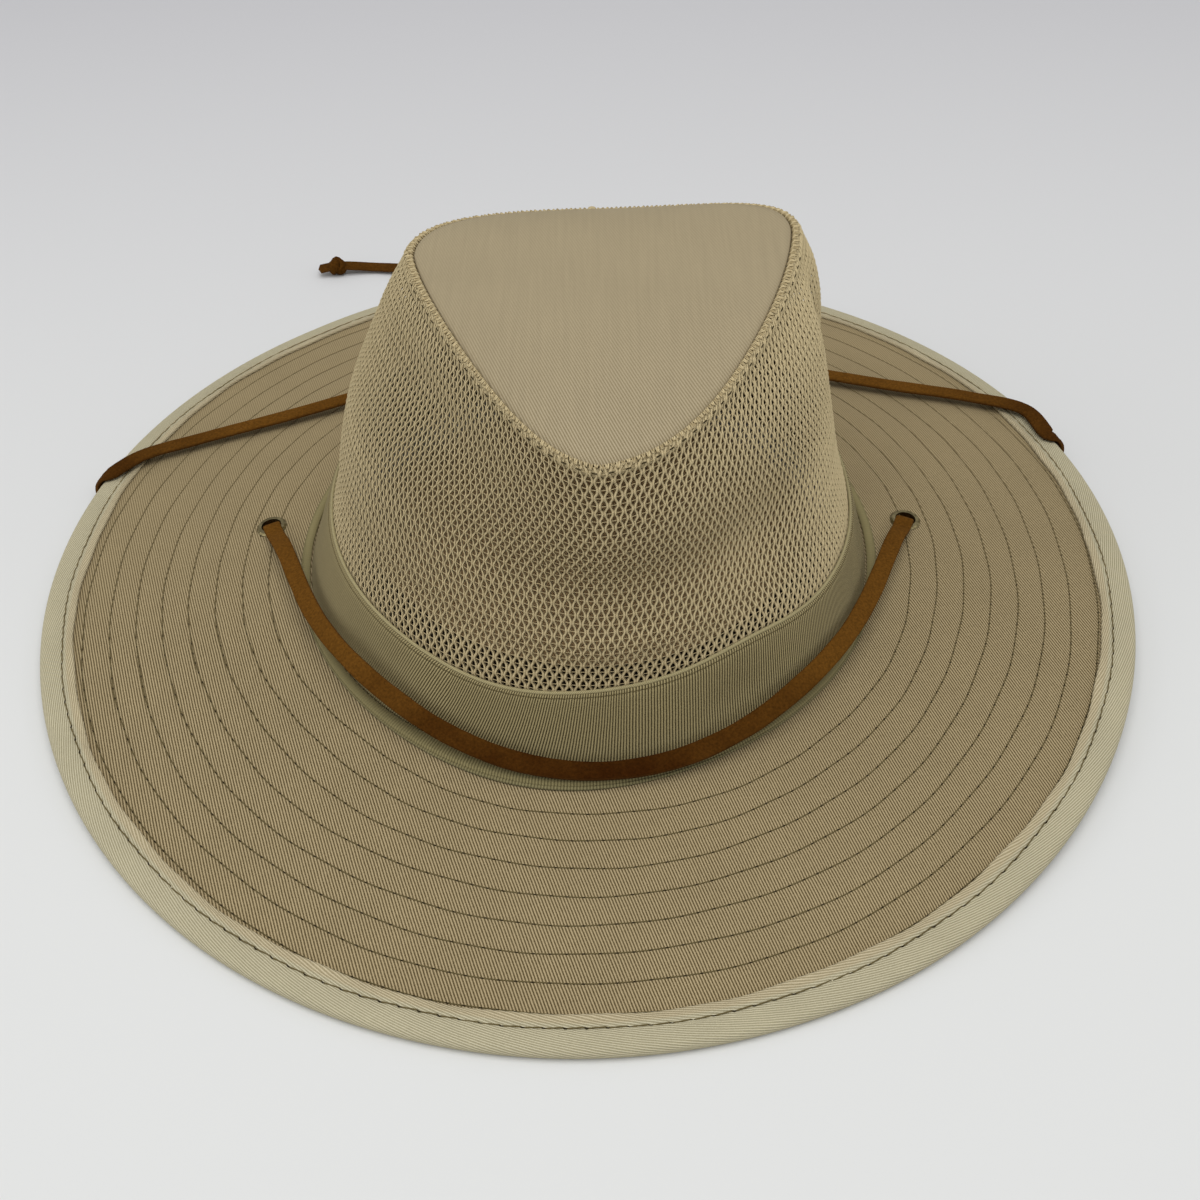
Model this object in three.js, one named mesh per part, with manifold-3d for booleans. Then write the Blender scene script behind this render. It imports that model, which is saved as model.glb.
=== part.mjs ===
// A floppy hat: a stitched twill brim with a bound edge, a net crown with a twill top panel, a hat band,
// two brass eyelets and a suede chin lace that is thrown back over the brim.
// Millimetres, +Z up, the hat's front towards -Y. The bound edge rests on z = 0 at the front and back.
import * as THREE from "three";
import { mergeVertices } from "three/addons/utils/BufferGeometryUtils.js";
import Module from "manifold-3d";

const wasm = await Module();
wasm.setup();

// Clearance between pieces that touch on the real hat
const GAP = 0.3;
// Clearance between rings that are divided at different angles
const RING_GAP = 0.5;
// Steps round a ring
const STEPS = 56;

// Brim: outer size over the binding, and how it hangs from the crown
const BRIM_WIDTH = 350;
const BRIM_LENGTH = 364;
const BRIM_WALL = 1.8;
const BRIM_FOOT_HEIGHT = 10.5;
const SIDE_LIFT = 5;
const RIGHT_LIFT = 1.3;
const SIDE_SAG = 1.2;
const BACK_SAG = 1.0;

// Binding: tape folded round the padded edge, pressed flat where it rests
const BINDING_WIDTH = 10.5;
const BINDING_WALL = 0.8;
const BINDING_PRESS = 0.7;

// Crown foot and hat band, measured over the band
const FOOT_WIDTH = 180;
const FOOT_LENGTH = 196;
const FOOT_SHIFT = 1;
const BAND_TOP_WIDTH = 164;
const BAND_TOP_LENGTH = 182;
const BAND_TOP_SHIFT = 2;
const BAND_HEIGHT = 25.5;
const BAND_WALL = 1.4;
const BAND_ROLL = 2.2;
const NET_EASE = 1;

// Folded lip that stands out from the band's foot
const LIP_WIDTH = 7;
const LIP_WALL = 1.3;

// Net wall, and the rolled seam at its top
const NET_WALL = 1.2;
const SEAM_ROLL = 4;
const SEAM_SINK = { front: 1.2, back: 3 };

// Seam line between net and top panel, measured from the crown's axis
const AXIS = { x: 4.7, y: 30 };
const CROWN_HEIGHT = 108;
const TOP_RIGHT = 59;
const TOP_LEFT = 53.7;
const TOP_FRONT = 109.6;
const TOP_BACK = 40;
const TIP_DROP = 7.4;
const BACK_DROP = 14.5;
const LEFT_DROP = 6.1;

// Bow of the seam's sides, 1 for straight and 2 for an oval, and the rounded tip where they meet
const BOW = { left: 1.24, right: 1.42, back: 2 };
const TIP_OVERSHOOT = 1.056;
const TIP_BLUNTNESS = 9.5;

// Top panel
const PANEL_WALL = 1.2;
const PANEL_DIP = 5;

// How far the net wall bellies out beyond a straight line, high up and all over
const BELLY = { right: 3.5, left: 2.5, front: 1.5, back: 3 };
const BELLY_LOW = 1.5;

// Soft folds of the net wall: bearing and spread in degrees, level and height as shares of the wall's
// height, depth as a share of the crown's height, negative where the wall swells
const NET_FOLDS = [
  { name: "front dent", bearing: -90, spread: 22, level: 0.42, height: 0.2, depth: 0.046 },
  { name: "front shelf", bearing: -90, spread: 16, level: 0.2, height: 0.1, depth: -0.019 },
  { name: "right front dent", bearing: -62, spread: 10, level: 0.35, height: 0.2, depth: 0.037 },
  { name: "right crease", bearing: -12, spread: 7, level: 0.6, height: 0.45, depth: 0.037 },
  { name: "left shoulder dent", bearing: -135, spread: 24, level: 0.8, height: 0.16, depth: 0.028 },
  { name: "left swell", bearing: -178, spread: 35, level: 0.35, height: 0.3, depth: -0.042 },
];

// Waves of the band's top edge: bearing and spread in degrees, rise as a share of the band's height
const BAND_WAVES = [
  { name: "front left", bearing: -103, spread: 14, rise: -0.11 },
  { name: "front right", bearing: -69, spread: 10, rise: 0.12 },
  { name: "right", bearing: -32, spread: 24, rise: -0.14 },
];

// Soft dents in the band: as the net's folds, depth as a share of the band's height
const BAND_DENTS = [
  { name: "right dent", bearing: -71, spread: 5, level: 0.35, height: 0.4, depth: 0.06 },
  { name: "left dent", bearing: -128, spread: 6, level: 0.4, height: 0.4, depth: 0.04 },
];

// Eyelets: place on the brim as an angle and a share of its width, then the brass ring
const EYELETS = [
  { name: "eyelet_left", angle: 173.5, share: 0.195 },
  { name: "eyelet_right", angle: 4.2, share: 0.19 },
];
const EYELET_BORE = 3.4;
const EYELET_BARREL = 0.5;
const EYELET_FLANGE = 5.1;
const EYELET_PLATE = 0.6;

// Suede lace
const LACE_WIDTH = 5.8;
const LACE_WALL = 1.6;
const LACE_STEPS = 48;

// Angles between which the lace lies against the front of the band
const FRONT_RUN = { from: -156, to: -22 };

// Where the lace leans up against the band, chosen by hand: its height over the lip, then how far it moves in
// and how far its face turns outward for each millimetre of that height
const LACE_LEANS = [
  { name: "left", angle: -138, spread: 31, rise: 9 },
  { name: "right", angle: -41, spread: 27, rise: 6.5 },
];
const LEAN_IN = 0.3;
const LEAN_TURN = 0.09;

// Where the lace comes down off the lip, as a share of the way from an eyelet to the band
const LIP_CROSSING = 0.32;

// How far the lace creeps along the edge at each eighth of a turn round it
const WRAP_DRIFT = 1.2;

// Slide that holds both laces behind the crown
const SLIDE = { x: 5, y: 118, width: 10, wall: 1.6 };

// Knots near the free ends, and what is left of the lace past them
const KNOT = { length: 8, width: 8.5, height: 7 };

// Routes of the free laces from their eyelet to the free end, chosen by hand. over is the lace's underside
// above the brim's top, under its top below the brim's underside, z the height of its middle above the
// surface, wrap the angle where it goes round the brim's edge, and slide its place in the slide, 1 for the
// upper one, with heading the way it runs along X there.
const LEFT_ROUTE = [
  { x: -112, y: 15, under: 1.6 },
  { x: -135, y: 27, under: 1.2 },
  { x: -155, y: 37, under: 1.6 },
  { wrap: 166 },
  { x: -158, y: 55, over: 2.6 },
  { x: -140, y: 64, over: 2.4 },
  { x: -105, y: 77.5, over: 2.6 },
  { x: -60, y: 95.5, over: 3 },
  { x: -24, y: 113, over: 1.2 },
  { slide: -1, heading: 1 },
  { x: 32, y: 127, over: 1 },
  { x: 48, y: 150, over: 1 },
  { x: 58, y: 168, over: 2.4 },
  { x: 63, y: 180.5, z: 5 },
  { x: 68, y: 189, z: 2.4 },
  { x: 73, y: 197, z: 3.7 },
  { x: 77, y: 204, z: 2.6 },
];
const RIGHT_ROUTE = [
  { x: 113, y: 11, under: 1.6 },
  { x: 135, y: 27, under: 1.2 },
  { x: 153, y: 42, under: 1.6 },
  { wrap: 16.5 },
  { x: 160, y: 68, over: 2.6 },
  { x: 142, y: 78, over: 2.4 },
  { x: 111, y: 87.5, over: 2.6 },
  { x: 70, y: 100, over: 3 },
  { x: 34, y: 113, over: 4.8 },
  { slide: 1, heading: -1 },
  { x: -22, y: 128, over: 5 },
  { x: -42, y: 152, over: 1 },
  { x: -53, y: 168, over: 2.4 },
  { x: -60, y: 179.5, z: 5.2 },
  { x: -72, y: 189, z: 2.6 },
  { x: -88, y: 192.5, z: 2 },
  { x: -104, y: 191.2, z: 3.7 },
  { x: -112, y: 189.8, z: 3 },
];

// Arithmetic shared by the pieces

const lerp = THREE.MathUtils.lerp;
const radians = THREE.MathUtils.degToRad;

// The shares from 0 to 1 in equal steps, both ends included
function shares(steps) {
  return Array.from({ length: steps + 1 }, (_, i) => i / steps);
}

// Angles once round, the last one short of the first
function turns() {
  return Array.from({ length: STEPS }, (_, i) => (2 * Math.PI * i) / STEPS - Math.PI);
}

// One soft bump of height 1 at a bearing, in degrees
function bump(bearing, centre, spread) {
  const off = THREE.MathUtils.euclideanModulo(bearing - centre + 180, 360) - 180;
  return Math.exp(-((off / spread) ** 2));
}

// The point where a ray from the crown's axis meets an oval of this size
function ovalAt(bearing, width, length, shift) {
  const a = width / 2;
  const b = length / 2;
  const c = Math.cos(bearing);
  const s = Math.sin(bearing);
  const ox = AXIS.x - shift;
  const oy = AXIS.y;
  const square = (c / a) ** 2 + (s / b) ** 2;
  const linear = (ox * c) / a ** 2 + (oy * s) / b ** 2;
  const rest = (ox / a) ** 2 + (oy / b) ** 2 - 1;
  const reach = (-linear + Math.sqrt(linear ** 2 - square * rest)) / square;
  return new THREE.Vector3(AXIS.x + reach * c, AXIS.y + reach * s, 0);
}

// A point moved sideways, away from the crown's axis
function outward(point, bearing, distance, rise = 0) {
  const offset = new THREE.Vector3(Math.cos(bearing) * distance, Math.sin(bearing) * distance, rise);
  return point.clone().add(offset);
}

// Solids from rows of points

// A closed surface through rings of equally many points. A closed loft joins its last ring to its first,
// an open one has flat ends.
function loft(rings, closed) {
  const count = rings[0].length;
  const points = rings.flat();
  const faces = [];
  const spans = closed ? rings.length : rings.length - 1;
  for (let i = 0; i < spans; i += 1) {
    const near = i * count;
    const far = ((i + 1) % rings.length) * count;
    for (let j = 0; j < count; j += 1) {
      const next = (j + 1) % count;
      faces.push(near + j, far + j, far + next, near + j, far + next, near + next);
    }
  }
  if (!closed) {
    addCap(points, faces, rings[0], 0, false);
    addCap(points, faces, rings.at(-1), (rings.length - 1) * count, true);
  }
  const geometry = new THREE.BufferGeometry().setFromPoints(points);
  geometry.setIndex(signedVolume(points, faces) < 0 ? faces.reverse() : faces);
  geometry.computeVertexNormals();
  return geometry;
}

function addCap(points, faces, ring, first, last) {
  const middle = ring.reduce((sum, p) => sum.add(p), new THREE.Vector3()).divideScalar(ring.length);
  const centre = points.push(middle) - 1;
  ring.forEach((_, j) => {
    const a = first + j;
    const b = first + ((j + 1) % ring.length);
    faces.push(centre, last ? b : a, last ? a : b);
  });
}

function signedVolume(points, faces) {
  let volume = 0;
  for (let i = 0; i < faces.length; i += 3) {
    const [a, b, c] = [points[faces[i]], points[faces[i + 1]], points[faces[i + 2]]];
    volume += a.dot(new THREE.Vector3().crossVectors(b, c));
  }
  return volume;
}

function toManifold(geometry) {
  const bare = geometry.clone();
  bare.deleteAttribute("normal");
  bare.deleteAttribute("uv");
  const merged = mergeVertices(bare, 1e-4);
  const vertProperties = new Float32Array(merged.attributes.position.array);
  const triVerts = new Uint32Array(merged.index.array);
  return new wasm.Manifold(new wasm.Mesh({ numProp: 3, vertProperties, triVerts }));
}

function fromManifold(solid) {
  const mesh = solid.getMesh();
  const geometry = new THREE.BufferGeometry();
  geometry.setAttribute("position", new THREE.BufferAttribute(new Float32Array(mesh.vertProperties), 3));
  geometry.setIndex(new THREE.BufferAttribute(new Uint32Array(mesh.triVerts), 1));
  geometry.computeVertexNormals();
  return geometry;
}

// Brim surface

const BINDING_HEIGHT = BRIM_WALL + 2 * (GAP + BINDING_WALL);

// The middle of the cloth where it meets the band's outer foot line
function brimFoot(angle) {
  const x = FOOT_SHIFT + (FOOT_WIDTH / 2) * Math.cos(angle);
  return new THREE.Vector3(x, (FOOT_LENGTH / 2) * Math.sin(angle), BRIM_FOOT_HEIGHT);
}

// The outermost line of the binding
function brimEdge(angle) {
  const c = Math.cos(angle);
  const lift = SIDE_LIFT * Math.abs(c) ** 3 + RIGHT_LIFT * c * Math.abs(c);
  const z = BINDING_HEIGHT / 2 - BINDING_PRESS + lift;
  return new THREE.Vector3((BRIM_WIDTH / 2) * c, (BRIM_LENGTH / 2) * Math.sin(angle), z);
}

function brimReach(angle) {
  return Math.hypot(brimEdge(angle).x - brimFoot(angle).x, brimEdge(angle).y - brimFoot(angle).y);
}

// The middle of the cloth, share 0 at the band's foot and 1 at the outermost line, level where it rests
function brimPoint(angle, share) {
  const point = brimFoot(angle).lerp(brimEdge(angle), share);
  const sag = SIDE_SAG + BACK_SAG * Math.sin(angle);
  if (share > 0) point.z -= sag * 4 * share * (1 - share);
  point.z = Math.max(point.z, BINDING_HEIGHT / 2);
  return point;
}

// The cloth's upward normal
function brimNormal(angle, share) {
  const slope = brimPoint(angle, share + 0.01).sub(brimPoint(angle, share));
  const run = Math.hypot(slope.x, slope.y);
  return new THREE.Vector3((-slope.z * slope.x) / run, (-slope.z * slope.y) / run, run).normalize();
}

// The brim's angle and share under a place
function brimBelow(x, y) {
  let share = 0.5;
  let angle = Math.atan2(y, x);
  for (let i = 0; i < 30; i += 1) {
    const width = lerp(FOOT_WIDTH, BRIM_WIDTH, share);
    const length = lerp(FOOT_LENGTH, BRIM_LENGTH, share);
    angle = Math.atan2(y / length, (x - FOOT_SHIFT * (1 - share)) / width);
    const near = brimPoint(angle, share);
    const step = Math.hypot(x, y) - Math.hypot(near.x, near.y);
    share = THREE.MathUtils.clamp(share + step / brimReach(angle), 0, 1);
  }
  return { angle, share };
}

function brimHeight(x, y) {
  const { angle, share } = brimBelow(x, y);
  return brimPoint(angle, share).z;
}

// Brim and binding

const FOOT_INSET = BAND_WALL + NET_EASE + NET_WALL + GAP;

// The brim's inner edge, inside the net's foot
function brimInner(angle) {
  const c = Math.cos(angle);
  const s = Math.sin(angle);
  const x = FOOT_SHIFT + (FOOT_WIDTH / 2 - FOOT_INSET) * c;
  return new THREE.Vector3(x, (FOOT_LENGTH / 2 - FOOT_INSET) * s, BRIM_FOOT_HEIGHT);
}

function brimRing(angle) {
  const width = brimReach(angle);
  const bound = 1 - BINDING_WIDTH / width;
  const last = 1 - (BINDING_WALL + GAP) / width;
  const open = shares(4).map((share) => brimPoint(angle, share * bound));
  const middle = [brimInner(angle), ...open, brimPoint(angle, last)];
  const top = middle.map((p) => new THREE.Vector3(p.x, p.y, p.z + BRIM_WALL / 2));
  const bottom = middle.map((p) => new THREE.Vector3(p.x, p.y, p.z - BRIM_WALL / 2));
  return [...top, ...bottom.reverse()];
}

function eyeletPlace(eyelet) {
  return brimPoint(radians(eyelet.angle), eyelet.share);
}

function eyeletNormal(eyelet) {
  return brimNormal(radians(eyelet.angle), eyelet.share);
}

// The turn from a geometry's own Y axis to the eyelet's axis
function eyeletTilt(eyelet) {
  return new THREE.Quaternion().setFromUnitVectors(new THREE.Vector3(0, 1, 0), eyeletNormal(eyelet));
}

function brimGeometry() {
  let solid = toManifold(loft(turns().map(brimRing), true));
  for (const eyelet of EYELETS) {
    const radius = EYELET_BORE + EYELET_BARREL + GAP;
    const drill = new THREE.CylinderGeometry(radius, radius, 6 * BRIM_WALL, 20);
    drill.applyQuaternion(eyeletTilt(eyelet));
    drill.translate(...eyeletPlace(eyelet));
    solid = solid.subtract(toManifold(drill));
  }
  return fromManifold(solid);
}

// The tape's section from its upper inner edge, round the padded roll, to its lower inner edge and back
function bindingRing(angle) {
  const width = brimReach(angle);
  const inner = 1 - BINDING_WIDTH / width;
  const roll = BINDING_HEIGHT / 2;
  const turn = 1 - roll / width;
  const inside = 1 - BINDING_WALL / width;
  const half = BRIM_WALL / 2 + GAP;
  const at = (share, z) => {
    const p = brimPoint(angle, share);
    return new THREE.Vector3(p.x, p.y, p.z + z);
  };
  const outside = [at(inner, roll), at((inner + turn) / 2, roll), at(turn, roll)];
  outside.push(at(1 - 0.3 * (1 - turn), 0.72 * roll), at(1, 0), at(1 - 0.3 * (1 - turn), -0.72 * roll));
  outside.push(at(turn, -roll), at((inner + turn) / 2, -roll), at(inner, -roll));
  return [...outside, at(inner, -half), at(inside, -half), at(inside, half), at(inner, half)];
}

function bindingGeometry() {
  return loft(turns().map(bindingRing), true);
}

// Hat band and lip

const BAND_FOOT = BRIM_FOOT_HEIGHT + BRIM_WALL / 2 + GAP;
const BAND_TOP = BAND_FOOT + BAND_HEIGHT;

// The band's outer face, level 0 at its foot and 1 at its rolled top
function bandPoint(bearing, level) {
  const degrees = THREE.MathUtils.radToDeg(bearing);
  const foot = ovalAt(bearing, FOOT_WIDTH, FOOT_LENGTH, FOOT_SHIFT);
  const top = ovalAt(bearing, BAND_TOP_WIDTH, BAND_TOP_LENGTH, BAND_TOP_SHIFT);
  let wave = 1;
  for (const w of BAND_WAVES) wave += w.rise * bump(degrees, w.bearing, w.spread);
  const point = foot.lerp(top, level * wave);
  let push = 0;
  for (const d of BAND_DENTS) {
    const near = Math.exp(-(((level - d.level) / d.height) ** 2)) * Math.sin(Math.PI * Math.min(level, 1));
    push -= d.depth * BAND_HEIGHT * bump(degrees, d.bearing, d.spread) * near;
  }
  return outward(point, bearing, push).setZ(BAND_FOOT + BAND_HEIGHT * level * wave);
}

function bandRing(bearing) {
  const outer = [0, 0.25, 0.5, 0.75].map((level) => bandPoint(bearing, level));
  const top = bandPoint(bearing, 1);
  const r = BAND_ROLL / 2;
  const roll = [-0.5, 0.05, 0.5, 0.95, 1.4].map((turn) => {
    const a = Math.PI * turn;
    return outward(top, bearing, -BAND_WALL / 2 + r * Math.cos(a), r * Math.sin(a) - r);
  });
  roll[0] = outward(bandPoint(bearing, 0.9), bearing, 0);
  roll[4] = outward(bandPoint(bearing, 0.9), bearing, -BAND_WALL);
  const inner = [0.6, 0.3, 0].map((level) => outward(bandPoint(bearing, level), bearing, -BAND_WALL));
  return [...outer, ...roll, ...inner];
}

function bandGeometry() {
  return loft(turns().map(bandRing), true);
}

// A flat folded strip that lies on the brim round the band
function lipRing(angle) {
  const width = brimReach(angle);
  const at = (distance, height) => {
    const p = brimPoint(angle, distance / width);
    return new THREE.Vector3(p.x, p.y, p.z + BRIM_WALL / 2 + GAP + height);
  };
  const start = RING_GAP;
  const end = start + LIP_WIDTH;
  const top = [at(start, LIP_WALL), at(lerp(start, end, 0.6), LIP_WALL), at(end - 0.6, 0.9 * LIP_WALL)];
  return [at(start, 0), ...top, at(end, 0.5 * LIP_WALL), at(end - 0.6, 0)];
}

function lipGeometry() {
  return loft(turns().map(lipRing), true);
}

// Net crown

// The seam line at the top panel's edge
function seamPoint(bearing) {
  const c = Math.cos(bearing);
  const s = Math.sin(bearing);
  const side = c > 0 ? TOP_RIGHT : TOP_LEFT;
  const front = s < 0;
  const along = front ? TOP_FRONT * TIP_OVERSHOOT : TOP_BACK;
  let power = BOW.back;
  if (front) power = c > 0 ? BOW.right : BOW.left;
  let nearness = ((Math.abs(c) / side) ** power + (Math.abs(s) / along) ** power) ** (1 / power);
  if (front) nearness = (nearness ** TIP_BLUNTNESS + (-s / TOP_FRONT) ** TIP_BLUNTNESS) ** (1 / TIP_BLUNTNESS);
  const reach = 1 / nearness;
  const forward = Math.max(-reach * s, 0) / TOP_FRONT;
  const back = Math.max(reach * s, 0) / TOP_BACK;
  const left = Math.max(-reach * c, 0) / TOP_LEFT;
  const z = CROWN_HEIGHT - TIP_DROP * forward ** 2 - BACK_DROP * back ** 2 - LEFT_DROP * left ** 2;
  return new THREE.Vector3(AXIS.x + reach * c, AXIS.y + reach * s, z);
}

// How far the wall stands out from a straight line between band and seam
function netPush(bearing, level) {
  const c = Math.cos(bearing);
  const s = Math.sin(bearing);
  const side = c > 0 ? BELLY.right : BELLY.left;
  const along = s < 0 ? BELLY.front : BELLY.back;
  const high = 9.48 * level ** 3 * (1 - level);
  let push = (side * c * c + along * s * s) * high + BELLY_LOW * 4 * level * (1 - level);
  const ends = Math.min(1, 6 * level) * Math.min(1, 6 * (1 - level));
  for (const fold of NET_FOLDS) {
    const near = Math.exp(-(((level - fold.level) / fold.height) ** 2)) * ends;
    push -= fold.depth * CROWN_HEIGHT * near * bump(THREE.MathUtils.radToDeg(bearing), fold.bearing, fold.spread);
  }
  return push;
}

// The seam roll's middle, just outside the seam line and below it
function rollPoint(bearing) {
  const sink = lerp(SEAM_SINK.front, SEAM_SINK.back, (1 + Math.sin(bearing)) / 2);
  return outward(seamPoint(bearing), bearing, SEAM_ROLL / 2 + GAP, -sink);
}

// The net's outer face, level 0 at the band's top and 1 at the seam roll's middle
function netPoint(bearing, level) {
  const start = bandInside(bearing, BAND_TOP);
  const end = outward(rollPoint(bearing), bearing, SEAM_ROLL / 2 - NET_WALL / 2);
  return outward(start.lerp(end, level), bearing, netPush(bearing, level));
}

// The net's outer face behind the band, at a height below the band's top
function bandInside(bearing, z) {
  const level = (z - BAND_FOOT) / BAND_HEIGHT;
  const foot = ovalAt(bearing, FOOT_WIDTH, FOOT_LENGTH, FOOT_SHIFT);
  const top = ovalAt(bearing, BAND_TOP_WIDTH, BAND_TOP_LENGTH, BAND_TOP_SHIFT);
  const inset = BAND_WALL + NET_EASE + deepestDent(bearing, level);
  return outward(foot.lerp(top, level), bearing, -inset).setZ(z);
}

// The net gives way where the band is dented
function deepestDent(bearing, level) {
  let dent = 0;
  for (const d of BAND_DENTS) {
    const wide = bump(THREE.MathUtils.radToDeg(bearing), d.bearing, 1.4 * d.spread);
    dent += d.depth * BAND_HEIGHT * wide * Math.sin(Math.PI * Math.min(Math.max(level, 0), 1));
  }
  return dent;
}

function netRing(bearing) {
  const hidden = [0, 0.5].map((share) => bandInside(bearing, lerp(BAND_FOOT, BAND_TOP, share)));
  const levels = [0, 0.12, 0.24, 0.36, 0.48, 0.62, 0.76, 0.9];
  const outer = levels.map((level) => netPoint(bearing, level));
  const r = SEAM_ROLL / 2;
  const middle = rollPoint(bearing);
  const roll = [0, 0.25, 0.5, 0.75, 1, 1.3].map((turn) => {
    const a = Math.PI * turn;
    return outward(middle, bearing, r * Math.cos(a), r * Math.sin(a));
  });
  const inner = [0.76, 0.48, 0.24].map((level) => outward(netPoint(bearing, level), bearing, -NET_WALL));
  const inside = [1, 0].map((share) => {
    return outward(bandInside(bearing, lerp(BAND_FOOT, BAND_TOP, share)), bearing, -NET_WALL);
  });
  return [...hidden, ...outer, ...roll, ...inner, ...inside];
}

function netGeometry() {
  return loft(turns().map(netRing), true);
}

// The top panel's upper face, share 0 on the crown's axis and 1 at the seam line
function panelPoint(bearing, share) {
  const edge = seamPoint(bearing);
  const floor = CROWN_HEIGHT - PANEL_DIP;
  const x = lerp(AXIS.x, edge.x, share);
  const y = lerp(AXIS.y, edge.y, share);
  return new THREE.Vector3(x, y, lerp(floor, edge.z, share ** 2.5));
}

function panelGeometry() {
  const top = [0.25, 0.5, 0.75, 0.9, 1];
  const lower = (p) => new THREE.Vector3(p.x, p.y, p.z - PANEL_WALL);
  const face = top.map((share) => turns().map((bearing) => panelPoint(bearing, share)));
  const back = [1, 0.75, 0.4].map((share) => turns().map((bearing) => lower(panelPoint(bearing, share))));
  return loft([...face, ...back], false);
}

// Eyelets

function eyeletGeometry(eyelet) {
  const half = BRIM_WALL / 2 + GAP;
  const tall = half + EYELET_PLATE;
  const barrel = EYELET_BORE + EYELET_BARREL;
  const profile = [
    [EYELET_BORE, -tall], [EYELET_FLANGE, -tall], [EYELET_FLANGE, -half], [barrel, -half],
    [barrel, half], [EYELET_FLANGE, half], [EYELET_FLANGE - EYELET_PLATE, tall], [EYELET_BORE, tall],
    [EYELET_BORE, -tall],
  ];
  const ring = new THREE.LatheGeometry(profile.map(([x, y]) => new THREE.Vector2(x, y)), 20);
  ring.applyQuaternion(eyeletTilt(eyelet));
  ring.translate(...eyeletPlace(eyelet));
  return fromManifold(toManifold(ring));
}

// Laces

// A flat strip along a smooth curve. Each point has a normal that the strip's face turns to.
function strip(points, normals, steps) {
  const curve = new THREE.CatmullRomCurve3(points, false, "centripetal");
  const faceCurve = new THREE.CatmullRomCurve3(normals, false, "centripetal");
  const w = LACE_WIDTH / 2;
  const h = LACE_WALL / 2;
  const section = [[-w, -h], [0, -h], [w, -h], [w, h], [0, h], [-w, h]];
  const rings = shares(steps).map((share) => {
    const place = curve.getPoint(share);
    const along = curve.getTangent(share);
    const face = faceCurve.getPoint(share);
    const side = new THREE.Vector3().crossVectors(along, face).normalize();
    const up = new THREE.Vector3().crossVectors(side, along).normalize();
    return section.map(([a, b]) => place.clone().addScaledVector(side, a).addScaledVector(up, b));
  });
  return loft(rings, false);
}

const UP = new THREE.Vector3(0, 0, 1);
const DOWN = new THREE.Vector3(0, 0, -1);

// The lace stands in the eyelet's bore and bends over its rim towards a place, above the brim or below it
function throughEyelet(eyelet, towards, side) {
  const middle = eyeletPlace(eyelet);
  const normal = eyeletNormal(eyelet).multiplyScalar(side);
  const out = new THREE.Vector3(towards.x - middle.x, towards.y - middle.y, 0).projectOnPlane(normal).normalize();
  const rim = BRIM_WALL / 2 + GAP + EYELET_PLATE + GAP + LACE_WALL / 2;
  const stops = [[0, 0.3], [0, rim - 1.2], [1.1, rim + 0.4], [EYELET_FLANGE + 1, rim]];
  const points = stops.map(([reach, rise]) => {
    return middle.clone().addScaledVector(out, reach).addScaledVector(normal, rise);
  });
  const back = out.clone().negate();
  return { points, faces: [back, back, back.clone().add(normal), normal] };
}

// Round the front of the band, lying on the lip and leaning up the band at both sides
function frontLaceGeometry() {
  const [left, right] = EYELETS;
  const reach = RING_GAP + GAP + LACE_WIDTH / 2;
  const rise = BRIM_WALL / 2 + 2 * GAP + LIP_WALL + LACE_WALL / 2 + RING_GAP;
  const run = shares(10).map((share) => {
    const degrees = lerp(FRONT_RUN.from, FRONT_RUN.to, share);
    const angle = radians(degrees);
    let lean = 0;
    for (const side of LACE_LEANS) lean += side.rise * bump(degrees, side.angle, side.spread);
    const out = new THREE.Vector3(Math.cos(angle), Math.sin(angle), 0);
    const normal = brimNormal(angle, reach / brimReach(angle));
    const point = brimPoint(angle, reach / brimReach(angle)).addScaledVector(normal, rise);
    point.addScaledVector(UP, lean).addScaledVector(out, -LEAN_IN * lean);
    return { lean, point, normal: normal.addScaledVector(out, LEAN_TURN * lean).normalize() };
  });
  const crossing = (eyelet, seat) => {
    const point = eyeletPlace(eyelet).lerp(seat.point, LIP_CROSSING);
    point.setZ(brimHeight(point.x, point.y) + rise + LIP_CROSSING * seat.lean);
    return { normal: eyeletNormal(eyelet), point };
  };
  const seats = [crossing(left, run[0]), ...run, crossing(right, run.at(-1))];
  const from = throughEyelet(left, seats[0].point, 1);
  const to = throughEyelet(right, seats.at(-1).point, 1);
  const points = [...from.points, ...seats.map((seat) => seat.point), ...to.points.reverse()];
  const faces = [...from.faces, ...seats.map((seat) => seat.normal), ...to.faces.reverse()];
  return strip(points, faces, LACE_STEPS);
}

// Half round the binding, from under the brim to over it, drifting back along the edge
function wrapPoints(stop) {
  const angle = radians(stop.wrap);
  const edge = brimEdge(angle);
  const ahead = brimEdge(angle + 0.01);
  const along = new THREE.Vector3(ahead.x - edge.x, ahead.y - edge.y, 0).normalize();
  const out = new THREE.Vector3(along.y, -along.x, 0);
  const drift = Math.sign(along.y);
  const roll = BINDING_HEIGHT / 2;
  const faces = [-0.5, -0.25, 0, 0.25, 0.5].map((turn) => {
    return out.clone().multiplyScalar(Math.cos(Math.PI * turn)).setZ(Math.sin(Math.PI * turn));
  });
  const points = faces.map((face, i) => {
    const centre = edge.clone().addScaledVector(out, -roll).addScaledVector(along, drift * WRAP_DRIFT * (i - 2));
    return centre.addScaledVector(face, roll + RING_GAP + LACE_WALL / 2);
  });
  return { points, faces };
}

// Straight through the slide and a little beyond both its ends
function slidePoints(stop) {
  const z = slideMiddle() + (stop.slide * (LACE_WALL + RING_GAP)) / 2;
  const near = SLIDE.width / 2 + 1;
  const ends = [-near - 5, -near, near, near + 5];
  return ends.map((x) => new THREE.Vector3(SLIDE.x + stop.heading * x, SLIDE.y, z));
}

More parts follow.
